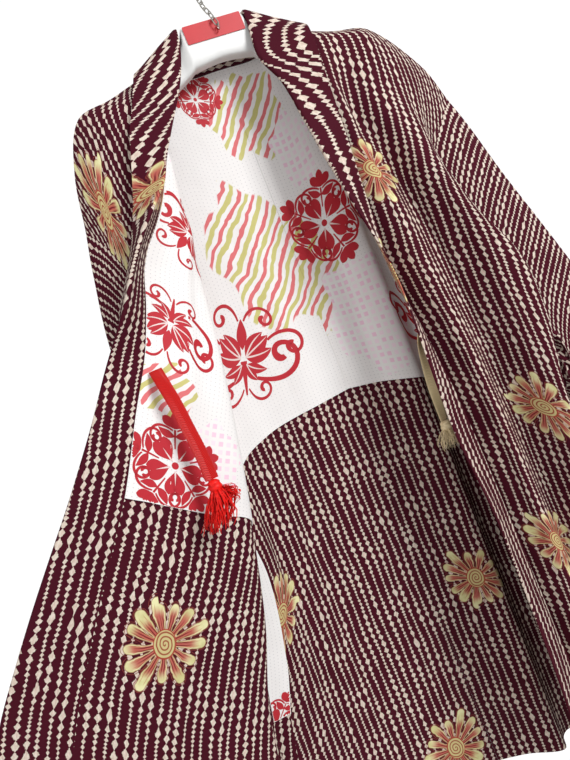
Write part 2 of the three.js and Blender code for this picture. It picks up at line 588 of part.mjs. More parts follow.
add('lining_left', bodyPanel(FRONT_LEFT, BACK_LEFT, FRONT_LINING, BACK_LINING, LINING, -LINING_SHIFT, 4), printed);
add('gusset_lining_right', gusset(FRONT_RIGHT, BACK_RIGHT, -1, GUSSET_LINING, LINING, -LINING_SHIFT, 6), printed);
add('gusset_lining_left', gusset(FRONT_LEFT, BACK_LEFT, 1, GUSSET_LINING, LINING, LINING_SHIFT, 5), printed);
add('tie_right', braid(TIE_RIGHT, 14, 2.2), scarlet);
add('tie_left', braid(TIE_LEFT, 13, 2.2), cream);
add('tassel_right', tassel([-208, -99, -540.25], 2.1, 44, [6, 0], 77), scarlet);
add('tassel_left', tassel([70, -46, -600.25], 1.2, 20, [-4, 0], 31), cream);
add('hanger', hanger(), white);
add('label', plate(36, 10.5, 1.2, -10.1, -9.3, -73.5), redPlate);

// The chain hangs from the held top link to the clasp in front of the plate.
const PITCH = 7.9;
const CHAIN = [[0, 0, 0, 0], [20, -2, -3, -20], [45, -3, -9, -44], [66, 2, -14, -64], [84, 6, -15, -81]];
for (let i = 0; i < 10; i += 1) {
  const at = curve(CHAIN, i * PITCH);
  const next = curve(CHAIN, (i + 1) * PITCH);
  add(`chain_${i + 1}`, link(at, next, ((i + 1) % 2) * Math.PI / 2 + 0.2, 12, 7, 1.5, 10, 5), metal);
}
// A ring stands out of the plate's front, and the last link hooks into it.
add('clasp', link([4.3, -14.5, -75.4], [4.3, -14.5, -90], Math.PI / 2, 8, 8, 1.5, 12, 5), metal);

export default part;
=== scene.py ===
"""Kimono jacket on a clothes hanger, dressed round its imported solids. Millimetres, +Z up, front -Y."""
import math

import bpy
import numpy as np
from mathutils import Matrix, Vector


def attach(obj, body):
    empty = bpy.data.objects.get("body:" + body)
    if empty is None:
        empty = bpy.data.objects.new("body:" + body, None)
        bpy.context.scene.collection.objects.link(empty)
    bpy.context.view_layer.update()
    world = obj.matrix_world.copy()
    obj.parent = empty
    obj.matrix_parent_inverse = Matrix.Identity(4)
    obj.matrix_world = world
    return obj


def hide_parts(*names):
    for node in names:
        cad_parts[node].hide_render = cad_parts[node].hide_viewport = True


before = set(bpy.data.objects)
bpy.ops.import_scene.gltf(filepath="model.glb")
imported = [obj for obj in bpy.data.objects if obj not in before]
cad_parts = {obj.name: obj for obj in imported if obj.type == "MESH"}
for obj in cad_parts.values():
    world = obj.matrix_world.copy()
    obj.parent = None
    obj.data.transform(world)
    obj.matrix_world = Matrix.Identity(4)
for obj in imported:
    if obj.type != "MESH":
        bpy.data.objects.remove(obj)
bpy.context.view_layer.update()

MM = 0.001
CLOTH = 1.6
LINING = 1.0
LINING_SHIFT = 1.75
SEAM_HALF_GAP = 0.17
FOLD_HALF_GAP = 2.1
FOLD_DEPTH = 2.2
HIDDEN_HALF_STRETCH = 0.45
INK_LIFT = 0.16
VEIN_LIFT = 0.14
BRAID_THICKNESS = 2.2
THREAD_RINGS = 7
ARMHOLE = 230
SLEEVE_LENGTH = 320
SLEEVE_DROP = 450
FRONT_LINING = 490
BACK_LINING = 433
GUSSET_LINING = 712
HEM = 985
BEAD_PITCH = 9.9
BEAD_LENGTH = 6.3
DAISY_PETALS = 13.0
STRIPE_PERIOD = 25.0
SQUARE = 9.0

# Warp lines of each panel: cloth length below the shoulder ridge, then x, y, z.
FRONT_RIGHT = {
    "seam": [[0, -86, 0, -95], [30, -97, -16, -118], [90, -112, -31, -172], [130, -120, -38, -208],
    [165, -136, -46, -245], [200, -154, -54, -272], [245, -182, -62, -307], [300, -202, -70, -357],
    [350, -222, -78, -401], [407, -252, -86, -451], [490, -294, -90, -523], [595, -355, -94, -608],
    [740, -433, -96, -730], [985, -530, -98, -950]],
    "inner": [[0, -112, 0, -103], [30, -114, -18, -124], [90, -113, -30, -178], [130, -116, -34, -214],
    [200, -144, -50, -288], [300, -182, -64, -374], [400, -222, -80, -470], [490, -258, -84, -551],
    [600, -310, -90, -650], [712, -366, -92, -744], [985, -460, -92, -996]],
    "outer": [[0, -142, 0, -112], [30, -134, -20, -132], [90, -114, -29, -185], [130, -114, -29, -221],
    [200, -134, -40, -304], [300, -160, -48, -398], [400, -192, -60, -500], [490, -222, -66, -582],
    [600, -262, -72, -684], [712, -310, -74, -784], [985, -380, -76, -1046]],
    "fold": [[0, -185, 0, -123], [30, -158, -20, -146], [90, -124, -27, -194], [130, -119, -23, -230],
    [200, -130, -27, -318], [300, -145, -33, -420], [400, -166, -39, -524], [490, -187, -42, -611],
    [600, -216, -44, -716], [712, -254, -48, -822], [985, -300, -52, -1090]],
    "hidden": [[0, -212, 0, -178], [30, -196, -16, -196], [90, -165, -21, -240], [130, -152, -16, -272],
    [200, -160, -9, -350], [300, -180, -8, -460], [400, -192, -14, -560], [490, -207, -20, -642],
    [600, -226, -26, -736], [712, -258, -34, -832], [985, -302, -38, -1098]],
    "side": [[0, -226, 0, -242], [30, -214, -8, -264], [90, -200, -15, -307], [150, -193, -18, -364],
    [230, -196, -14, -450], [300, -206, -11, -520], [400, -212, -12, -600], [490, -219, -11, -670],
    [600, -231, -13, -752], [712, -252, -18, -842], [985, -298, -25, -1104]],
}
BACK_RIGHT = {
    "centre": [[0, -0.6, 30, -104], [230, -0.6, 36, -334], [433, -0.6, 40, -537], [640, -0.6, 43, -744],
    [985, -0.6, 47, -1087]],
    "nape": [[0, -48, 27, -104], [30, -47, 30, -134], [230, -46, 37, -337], [433, -46, 41, -541],
    [985, -52, 50, -1093]],
    "seam": [[0, -86, 0, -95], [30, -88, 19, -116], [90, -90, 30, -174], [230, -92, 39, -324],
    [433, -94, 47, -546], [640, -100, 51, -752], [985, -118, 54, -1096]],
    "inner": [[0, -112, 0, -103], [30, -112, 20, -122], [90, -111, 31, -180], [230, -114, 38, -330],
    [433, -118, 46, -550], [640, -126, 48, -757], [985, -148, 50, -1100]],
    "outer": [[0, -142, 0, -112], [30, -140, 21, -130], [90, -136, 30, -189], [230, -136, 36, -340],
    [433, -142, 38, -556], [640, -152, 36, -764], [985, -190, 38, -1105]],
    "fold": [[0, -185, 0, -123], [30, -176, 20, -144], [90, -164, 27, -205], [230, -158, 30, -358],
    [433, -163, 28, -566], [640, -176, 24, -774], [985, -228, 28, -1111]],
    "hidden": [[0, -212, 0, -178], [30, -206, 14, -200], [90, -192, 21, -254], [230, -180, 20, -398],
    [433, -182, 14, -584], [530, -178, 12, -680], [640, -194, 10, -784], [820, -236, 10, -962],
    [985, -260, 12, -1117]],
    "side": [[0, -226, 0, -242], [30, -218, 8, -266], [90, -208, 12, -312], [150, -204, 10, -374],
    [230, -202, 4, -453], [433, -199, 2, -602], [530, -192, 0, -690], [640, -212, -2, -795],
    [712, -234, -2, -862], [820, -256, -2, -968], [985, -286, 0, -1122]],
}
FRONT_LEFT = {
    "seam": [[0, 86, 0, -95], [30, 97, -15, -114], [90, 93, -26, -174], [150, 89, -28, -240],
    [230, 87, -24, -320], [330, 92, -12, -412], [490, 110, -12, -560], [700, 116, -12, -770],
    [985, 122, -12, -1064]],
    "inner": [[0, 112, 0, -104], [30, 112, -18, -122], [90, 104, -30, -182], [150, 107, -36, -246],
    [230, 114, -40, -326], [330, 126, -40, -424], [490, 138, -42, -575], [700, 146, -42, -784],
    [985, 152, -42, -1074]],
    "outer": [[0, 142, 0, -113], [30, 138, -18, -130], [90, 118, -22, -190], [150, 130, -18, -254],
    [230, 148, -16, -334], [330, 163, -20, -436], [490, 170, -20, -590], [700, 178, -18, -800],
    [985, 183, -16, -1088]],
    "fold": [[0, 188, 0, -124], [30, 172, -20, -142], [90, 152, -30, -204], [150, 160, -40, -270],
    [230, 178, -50, -352], [330, 198, -60, -454], [490, 198, -62, -612], [700, 206, -60, -822],
    [985, 212, -58, -1105]],
    "hidden": [[0, 238, 0, -187], [30, 216, -16, -198], [90, 193, -28, -240], [150, 191, -42, -302],
    [230, 203, -56, -388], [300, 228, -66, -455], [360, 231, -70, -522], [490, 215, -72, -640],
    [700, 222, -68, -850], [985, 232, -64, -1128]],
    "side": [[0, 256, 0, -237], [30, 238, -8, -253], [90, 202, -14, -298], [150, 186, -14, -352],
    [230, 181, -11, -431], [330, 192, -8, -530], [490, 197, -7, -690], [700, 203, -6, -880],
    [985, 210, -4, -1140]],
}
BACK_LEFT = {
    "centre": [[fall, -x, y, z] for fall, x, y, z in BACK_RIGHT["centre"]],
    "nape": [[0, 48, 27, -104], [30, 47, 30, -134], [230, 44, 35, -338], [433, 42, 36, -545],
    [985, 42, 40, -1096]],
    "seam": [[0, 86, 0, -95], [30, 88, 19, -116], [90, 90, 28, -174], [230, 91, 30, -330],
    [433, 91, 28, -560], [640, 89, 27, -766], [985, 88, 28, -1108]],
    "inner": [[0, 112, 0, -104], [30, 110, 20, -122], [90, 108, 32, -182], [230, 106, 42, -338],
    [433, 105, 46, -566], [640, 104, 50, -771], [985, 104, 52, -1112]],
    "outer": [[0, 142, 0, -113], [30, 138, 21, -131], [90, 130, 34, -192], [230, 124, 50, -346],
    [433, 122, 60, -574], [640, 122, 62, -778], [985, 124, 64, -1118]],
    "fold": [[0, 188, 0, -124], [30, 176, 20, -146], [90, 162, 30, -208], [230, 146, 42, -362],
    [433, 148, 48, -586], [640, 150, 50, -790], [985, 160, 50, -1128]],
    "hidden": [[0, 238, 0, -187], [30, 222, 14, -206], [90, 198, 21, -256], [230, 168, 27, -397],
    [433, 172, 28, -600], [640, 177, 26, -806], [985, 186, 26, -1138]],
    "side": [[0, 256, 0, -237], [30, 240, 8, -257], [90, 208, 12, -306], [150, 192, 12, -362],
    [230, 184, 8, -437], [433, 196, 9, -624], [640, 200, 10, -822], [985, 212, 10, -1146]],
}
COLLAR_RIGHT = [
    [0, -43, -7, -62, -104, 0, -93], [15, -47, -13, -80, -110, -13, -102],
    [30, -54, -19, -101, -116, -24, -116], [60, -69, -29, -132, -128, -33, -142],
    [90, -94, -42, -172, -142, -39, -170], [130, -116, -50, -207, -157, -44, -212],
    [165, -134, -68, -240, -168, -43, -242], [200, -158, -90, -268, -180, -44, -268],
    [245, -190, -104, -306, -199, -46, -303], [300, -222, -104, -354, -228, -54, -350],
    [350, -258, -88, -396, -236, -62, -396], [407, -294, -98, -446, -259, -76, -448],
    [490, -343, -108, -508, -298, -82, -519], [595, -405, -114, -581, -359, -86, -604],
    [740, -484, -116, -686, -437, -88, -725], [850, -536, -117, -792, -482, -90, -821],
    [985, -592, -117, -922, -533, -90, -946],
]
COLLAR_LEFT = [
    [0, 43, -6, -62, 104, 0, -93], [15, 40, -13, -80, 106, -13, -101], [30, 36, -19, -97, 105, -22, -111],
    [60, 33, -25, -128, 102, -29, -141], [90, 44, -34, -164, 97, -35, -173],
    [150, 50, -46, -240, 92, -37, -240], [230, 58, -58, -320, 88, -33, -320],
    [275, 65, -63, -366, 88, -29, -366], [330, 71, -67, -411, 87, -26, -412],
    [407, 68, -73, -486, 95, -27, -486], [490, 63, -78, -560, 104, -26, -560],
    [560, 61, -82, -630, 110, -22, -630], [630, 67, -85, -700, 112, -22, -700],
    [700, 66, -88, -770, 114, -22, -770], [850, 63, -90, -920, 117, -22, -920],
    [985, 54, -90, -1062, 120, -22, -1064],
]
# Half of the band round the neck and half of the hanger; the other half mirrors it.
COLLAR_BACK = [
    [-80, 13, -95, -41, 14, -59, -92, 16, -94], [-66, 22, -99.5, -37, 27, -58, -72, 32, -98],
    [-48, 27.5, -102.5, -28, 34, -57, -50, 39, -100], [-22, 30, -102.5, -14, 37, -57, -23, 43, -100],
    [0, 30.5, -102.5, 0, 38, -57, 0, 44, -100],
]
COLLAR_BACK += [[*np.multiply(row, (-1, 1, 1) * 3)] for row in COLLAR_BACK[-2::-1]]
SLEEVE_RIGHT = {
    "ridge": [[0, -226, 0, -242], [48, -237, 3, -287], [132, -253, 14, -368], [200, -256, 44, -428],
    [260, -250, 80, -475], [320, -240, 118, -520]],
    "front": [[258, 10, -6, -222], [300, -12, 34, -244], [350, -14, -4, -272], [400, -4, 46, -304],
    [450, 2, 14, -350]],
    "back": [[258, 6, 16, -226], [300, -8, 54, -250], [350, -16, 18, -280], [400, -8, 64, -310],
    [450, 2, 14, -350]],
}
SLEEVE_LEFT = {
    "ridge": [[0, 256, 0, -237], [40, 270, 0, -274], [119, 294, 1, -349], [199, 321, 2, -424],
    [264, 343, 3, -486], [320, 361, 4, -540]],
    "front": [[300, -32, -38, -236], [350, -48, 2, -270], [400, -24, -34, -304], [450, -34, 14, -338]],
    "back": [[300, -34, -16, -244], [350, -46, 24, -278], [400, -22, -12, -310], [450, -34, 14, -338]],
}
FRONT_ROWS = [0, 15, 30, 60, 90, 130, 165, 200, 230, 260, 300, 350, 407, 450, 490, 540, 595, 650, 712, 780,
  850, 920, 985]
HANGER = [
    [-192, -157, -164, -3, 3], [-186, -151, -166, -5, 5], [-172, -140, -165, -8, 8],
    [-150, -129, -158, -9, 9], [-112, -117, -146, -9, 9], [-84, -109.5, -134, -7, 10],
    [-64, -98.5, -124, -6, 11], [-50, -87, -117, -6, 12], [-42, -76, -113, -8, 12],
    [-38.9, -65, -111, -9, 12], [-36.9, -61, -110, -9, 12], [0, -60, -106, -9, 12],
]
HANGER += [[-row[0], *row[1:]] for row in HANGER[-2::-1]]
# Ties from the front's edge down: x, y, z, turn of the flat side.
TIE_RIGHT = [
    [-217, -83.9, -417, -10], [-215, -94, -432, -4], [-212, -98, -455, 4], [-210, -99, -482, 10],
    [-208, -99, -512, 6], [-208, -99, -540, 2],
]
TIE_LEFT = [
    [81.3, -42.8, -494, 58], [77, -44, -508, 40], [75, -45, -530, 15], [73, -45, -556, -8],
    [71, -46, -580, 10], [70, -46, -600, 24],
]


def eased(t, start, lean_in, end, lean_out):
    """Cubic from start to end, with its lean at either end."""
    return (
        (2 * t**3 - 3 * t**2 + 1) * start
        + (t**3 - 2 * t**2 + t) * lean_in
        + (3 * t**2 - 2 * t**3) * end
        + (t**3 - t**2) * lean_out
    )


def curve(rows, at):
    """Smooth curve through a table's rows: first column the place, the rest what is read there."""
    table = np.asarray(rows, float)
    at = np.atleast_1d(np.asarray(at, float))
    last = len(table) - 1
    i = np.searchsorted(table[1:last, 0], at, side="left")
    start, end = table[i], table[i + 1]
    before, after = table[np.maximum(i - 1, 0)], table[np.minimum(i + 2, last)]
    span = (end[:, 0] - start[:, 0])[:, None]
    t = np.clip((at[:, None] - start[:, :1]) / span, 0, 1)
    lean_in = span * (end[:, 1:] - before[:, 1:]) / (end[:, :1] - before[:, :1])
    lean_out = span * (after[:, 1:] - start[:, 1:]) / (after[:, :1] - start[:, :1])
    return eased(t, start[:, 1:], lean_in, end[:, 1:], lean_out)


def run_of(steps):
    """Steps along each row, added up from zero."""
    return np.pad(np.cumsum(steps, axis=1), ((0, 0), (1, 0)))


def gaps_across(points):
    return np.linalg.norm(np.diff(points, axis=1), axis=2)


def weft(lines, falls, parts):
    """Rows of cloth across the warp lines: points by row and column, and the width run so far."""
    points = np.stack([curve(line, falls) for line in lines], axis=1)
    run = run_of(np.maximum(gaps_across(points), 0.5))
    last = len(lines) - 1
    columns, widths = [], []
    for i in range(last):
        start, end = points[:, i], points[:, i + 1]
        before, after = max(i - 1, 0), min(i + 2, last)
        span = run[:, i + 1] - run[:, i]
        lean_in = (end - points[:, before]) * (span / (run[:, i + 1] - run[:, before]))[:, None]
        lean_out = (points[:, after] - start) * (span / (run[:, after] - run[:, i]))[:, None]
        for t in np.arange(parts[i] + (i == last - 1)) / parts[i]:
            columns.append(eased(t, start, lean_in, end, lean_out))
            widths.append(run[:, i] + span * t)
    return np.stack(columns, axis=1), np.stack(widths, axis=1)


def numbers_of(points, first=0):
    """Point numbers of a block of rows and columns."""
    return first + np.arange(points.shape[0] * points.shape[1]).reshape(points.shape[:2])


def quads_of(index, turned):
    """Four-cornered faces between the rows of a block of point numbers."""
    a, b, c, d = index[:-1, :-1], index[:-1, 1:], index[1:, 1:], index[1:, :-1]
    return np.stack([a, d, c, b] if turned else [a, b, c, d], axis=-1).reshape(-1, 4)


def normals_of(points, quads):
    corners = points[quads]
    face = np.cross(corners[:, 2] - corners[:, 0], corners[:, 3] - corners[:, 1])
    out = np.zeros_like(points)
    for k in range(4):
        np.add.at(out, quads[:, k], face)
    return out / np.maximum(np.linalg.norm(out, axis=1, keepdims=True), 1e-9)


def pressed(points, quads, cloth, creases):
    """Adds soft troughs and ridges, given on the cloth: fall and width at both ends, half width, height."""
    rise = np.zeros(len(points))
    for v0, u0, v1, u1, half, height in creases:
        along = np.array([u1 - u0, v1 - v0], float)
        length = np.linalg.norm(along)
        along /= length
        gap = cloth - [u0, v0]
        run = gap @ along
        side = gap @ [-along[1], along[0]] + 0.12 * half * np.sin(run / (1.7 * half) + u0)
        taper = np.sin(np.pi * np.clip(run / length, 0, 1)) ** 0.7
        within = (run > 0) & (run < length)
        rise += np.where(within, height * taper * np.exp(-((side / half) ** 2)), 0)
    return points + normals_of(points, quads) * rise[:, None]


def body_sheet(front, back, side_sign, creases):
    """The whole cut from front hem to back hem: points, faces, places on the cloth, side edges."""
    parts = [8, 8, 5, 6, 8, 9, 9]
    neck = parts[0] + parts[1]
    front_falls, back_falls = np.linspace(HEM, 0, 142)[:-1], np.linspace(0, HEM, 142)
    front_points, front_run = weft(list(front.values()), front_falls, parts[2:])
    back_points, back_run = weft(list(back.values()), back_falls, parts)
    front_run = front_run + back_run[0, neck]
    front_index = numbers_of(front_points)
    back_index = numbers_of(back_points, front_index.size)
    joint = np.concatenate([front_index[-1:], back_index[:1, neck:]])
    quads = np.concatenate([quads_of(index, side_sign < 0) for index in (front_index, joint, back_index)])
    points = np.concatenate([front_points.reshape(-1, 3), back_points.reshape(-1, 3)])
    falls = np.concatenate([
        np.repeat(-front_falls, front_points.shape[1]),
        np.repeat(back_falls, back_points.shape[1]),
    ])
    cloth = np.stack([np.concatenate([front_run.ravel(), back_run.ravel()]), falls], axis=1)
    edge = np.zeros(len(points), bool)
    edge[front_index[:, -1]] = True
    edge[back_index[:, -1]] = True
    points = pressed(points, quads, cloth, creases)
    # The two cuts meet at the seam in the middle of the back.
    at_seam = np.abs(points[:, 0]) < 0.61
    points[at_seam, 0] = side_sign * SEAM_HALF_GAP
    return points, quads, cloth, edge


def lining_sheet(sheet):
    """The part of a body sheet that is lined, moved in from the outer cloth."""
    points, quads, cloth, edge = sheet
    inner = points - normals_of(points, quads) * LINING_SHIFT
    falls = cloth[:, 1][quads]
    lined = ((falls > -FRONT_LINING - 0.01) & (falls < BACK_LINING + 0.01)).all(axis=1)
    kept = quads[lined & ~edge[quads].any(axis=1)]
    used, place = np.unique(kept, return_inverse=True)
    return inner[used], place.reshape(-1, 4), cloth[used]


def gusset_sheet(front, back, side_sign, end, shift):
    """The wedge between a front and a back, bowed out between their side lines."""
    falls = np.linspace(242, end, 60)
    a, b = curve(front["side"], falls), curve(back["side"], falls)
    b[:, 2] = (a[:, 2] + b[:, 2]) / 2
    line = curve(back["side"], np.linspace(200, HEM, 300))
    b[:, 0] = np.interp(-b[:, 2], -line[:, 2], line[:, 0]) - side_sign * 0.5
    b[:, 1] = np.interp(-b[:, 2], -line[:, 2], line[:, 1]) - 0.8
    bow = (a + b) / 2
    bow[:, 0] += 2 * side_sign * (np.maximum(0, falls - 520) * 0.05 + 4)
    columns = [(1 - t) ** 2 * a + 2 * t * (1 - t) * bow + t**2 * b for t in np.linspace(0, 1, 11)]
    points = np.stack(columns, axis=1)
    quads = quads_of(numbers_of(points), side_sign > 0)
    cloth = np.stack([run_of(gaps_across(points)).ravel(), np.repeat(falls, 11)], axis=1)
    flat = points.reshape(-1, 3)
    return flat - normals_of(flat, quads) * shift, quads, cloth


def unit(v):
    return v / np.linalg.norm(v, axis=1, keepdims=True)


def collar_sheet():
    """The band folded in half along its length: seam, pressed fold, free edge."""
    right, left = (
        np.concatenate([curve(front["seam"], FRONT_ROWS), curve(table, FRONT_ROWS)], axis=1)
        for table, front in ((COLLAR_RIGHT, FRONT_RIGHT), (COLLAR_LEFT, FRONT_LEFT))
    )
    rows = np.concatenate([right[::-1], COLLAR_BACK, left])
    steps = np.maximum(np.linalg.norm(np.diff(rows[:, 3:6], axis=0), axis=1), 6)
    run = np.concatenate([[0], np.cumsum(steps)])
    fine = np.linspace(0, run[-1], 300)
    read = curve(np.concatenate([run[:, None], rows], axis=1), fine)
    seam, fold, free = read[:, 0:3], read[:, 3:6], read[:, 6:9]
    apart = unit(seam - free) * FOLD_HALF_GAP
    up = unit(fold - (seam + free) / 2)
    turn_in, turn_out = fold + apart - up * FOLD_DEPTH, fold - apart - up * FOLD_DEPTH
    face = unit(np.cross(np.gradient(fold, axis=0), up))
    columns = [seam + (turn_in - seam) * t for t in np.linspace(0, 1, 8)]
    for angle in np.radians((30, 60, 90, 120, 150)):
        columns.append(fold + apart * math.cos(angle) - up * FOLD_DEPTH * (1 - math.sin(angle)))
    columns += [turn_out + (free - turn_out) * t for t in np.linspace(0, 1, 8)]
    points = np.stack(columns, axis=1)
    wave = 0.9 * np.sin(fine / 47.0 + 0.8 * np.sin(fine / 113.0))
    puff = np.sin(np.pi * np.linspace(0, 1, 8))[1:7]
    for first in (1, 14):
        points[:, first:first + 6] += (face * wave[:, None])[:, None, :] * puff[:, None]
    # The hidden half is seen edge-on, and carries its rows of beads further apart.
    across = gaps_across(points)
    across[:, 12:] *= HIDDEN_HALF_STRETCH
    cloth = np.stack([run_of(across).ravel(), np.repeat(fine, points.shape[1])], axis=1)
    return points.reshape(-1, 3), quads_of(numbers_of(points), False), cloth


def hang_of(side_line, lower, falls):
    """A sleeve wall below its ridge: as the body's side to the armhole, then by its own table."""
    start = curve(side_line, 0)
    high = curve(side_line, np.minimum(falls, ARMHOLE)) - start
    at_armhole = (curve(side_line, ARMHOLE) - start)[0]
    low = curve([[ARMHOLE, *at_armhole]] + lower, np.maximum(falls, ARMHOLE))
    return np.where((falls <= ARMHOLE)[:, None], high, low)


def sleeve_sheet(table, front, back, side_sign, wave):
    """Front and back wall of a sleeve, with soft waves (pitch, height, slant) that grow downwards."""
    along = np.linspace(0, SLEEVE_LENGTH, 54)
    falls = np.concatenate([np.linspace(0, 60, 13)[:-1], np.linspace(60, SLEEVE_DROP, 64)])
    ridge = curve(table["ridge"], along)[:, None]
    walls = [hang_of(side["side"], table[key], falls) for side, key in ((front, "front"), (back, "back"))]
    middle = (walls[0] + walls[1]) / 2
    closing = np.clip((along - 240) / 80, 0, 1)[:, None, None] ** 2 * (falls > ARMHOLE)[None, :, None]
    near, far = (ridge + wall[None] + (middle - wall)[None] * closing for wall in walls)
    block = np.concatenate([near[:, ::-1], far[:, 1:]], axis=1)
    fall = np.concatenate([-falls[::-1], falls[1:]])
    pitch, height, slant = wave
    depth = np.clip((np.abs(fall) - 130) / 190, 0, 1) ** 1.3 * height
    phase = 2 * np.pi * (along[:, None] / pitch + np.abs(fall)[None] / slant)
    shape = np.sin(phase) + 0.35 * np.sin(phase * 1.9 + 1.3)
    free = np.sin(np.pi * along / SLEEVE_LENGTH * 0.93 + 0.1)[:, None]
    rise = shape * depth * free * np.sign(fall)
    quads = quads_of(numbers_of(block), side_sign > 0)
    cloth = np.stack([np.repeat(along, len(fall)), np.tile(fall, len(along))], axis=1)
    points = block.reshape(-1, 3)
    return points + normals_of(points, quads) * rise.reshape(-1, 1), quads, cloth


class Wire:
    """A value in a material's nodes. A sum written with it adds the nodes for that sum."""

    def __init__(self, tree, socket):
        self.tree = tree
        self.socket = socket

    def __add__(self, other):
        return maths("ADD", self, other)

    def __sub__(self, other):
        return maths("SUBTRACT", self, other)

    def __rsub__(self, other):
        return maths("SUBTRACT", other, self)

    def __mul__(self, other):
        return maths("MULTIPLY", self, other)

    def __truediv__(self, other):
        return maths("DIVIDE", self, other)

    def __abs__(self):
        return maths("ABSOLUTE", self)

    __radd__ = __add__
    __rmul__ = __mul__

    def into(self, socket):
        self.tree.links.new(self.socket, socket)


def new_node(tree, kind, inputs, **settings):
    """Adds a node and fills its inputs, named or numbered, with wires or plain values."""
    node = tree.nodes.new(kind)
    for key, value in settings.items():
        setattr(node, key, value)
    for key, value in inputs.items():
        if isinstance(value, Wire):
            value.into(node.inputs[key])
        else:
            node.inputs[key].default_value = value
    return node


def maths(operation, first, second=0.0):
    tree = first.tree if isinstance(first, Wire) else second.tree
    node = new_node(tree, "ShaderNodeMath", {0: first, 1: second}, operation=operation)
    return Wire(tree, node.outputs[0])


def ramp(value, start, end):
    """0 before start, 1 after end, smooth between; start may be above end."""
    inputs = {"Value": value, "From Min": start, "From Max": end, "To Min": 0.0, "To Max": 1.0}
    node = new_node(value.tree, "ShaderNodeMapRange", inputs, interpolation_type="SMOOTHSTEP")
    return Wire(value.tree, node.outputs["Result"])


def vector(x, y, z=0.0):
    return Wire(x.tree, new_node(x.tree, "ShaderNodeCombineXYZ", {0: x, 1: y, 2: z}).outputs[0])


def split(tree, socket):
    node = new_node(tree, "ShaderNodeSeparateXYZ", {0: Wire(tree, socket)})
    return [Wire(tree, output) for output in node.outputs]


def uv_place(tree, name):
    return split(tree, new_node(tree, "ShaderNodeUVMap", {}, uv_map=name).outputs[0])[:2]


def object_place(tree):
    return Wire(tree, new_node(tree, "ShaderNodeTexCoord", {}).outputs["Object"])


def noise(place, scale=1.0, detail=2.0):
    inputs = {"Vector": place, "Scale": scale, "Detail": detail, "Roughness": 0.5}
    node = new_node(place.tree, "ShaderNodeTexNoise", inputs, noise_dimensions="3D")
    return Wire(place.tree, node.outputs["Fac"])


def drift(place, span, scale=1.0, detail=2.0):
    """Noise about zero, over the span."""
    return (noise(place, scale, detail) - 0.5) * span


def chance(x, y):
    """A random number for each pair of whole numbers."""
    node = new_node(x.tree, "ShaderNodeTexWhiteNoise", {"Vector": vector(x, y)}, noise_dimensions="2D")
    return Wire(x.tree, node.outputs["Value"])


def mixed(factor, *colours):
    """The first colour where the factor is 0, the second where it is 1."""
    first, second = (colour if isinstance(colour, Wire) else (*colour, 1) for colour in colours)
    inputs = {0: factor, 6: first, 7: second}
    node = new_node(factor.tree, "ShaderNodeMix", inputs, data_type="RGBA", clamp_factor=True)
    return Wire(factor.tree, node.outputs[2])


def bumped(height, strength, distance, shader):
    inputs = {"Strength": strength, "Distance": distance, "Height": height}
    node = new_node(height.tree, "ShaderNodeBump", inputs)
    height.tree.links.new(node.outputs[0], shader.inputs["Normal"])


def plain_material(name, colour, roughness, specular=0.5):
    material = bpy.data.materials.new(name)
    material.use_nodes = True
    shader = material.node_tree.nodes["Principled BSDF"]
    shader.inputs["Base Color"].default_value = (*colour, 1)
    shader.inputs["Roughness"].default_value = roughness
    shader.inputs["Specular IOR Level"].default_value = specular
    return material, material.node_tree, shader


def weave_height(u, v, thread):
    """Plain weave: warp and weft threads that pass over each other in turn."""
    return maths("SINE", u * (math.pi / thread)) * maths("SINE", v * (math.pi / (thread * 1.12)))


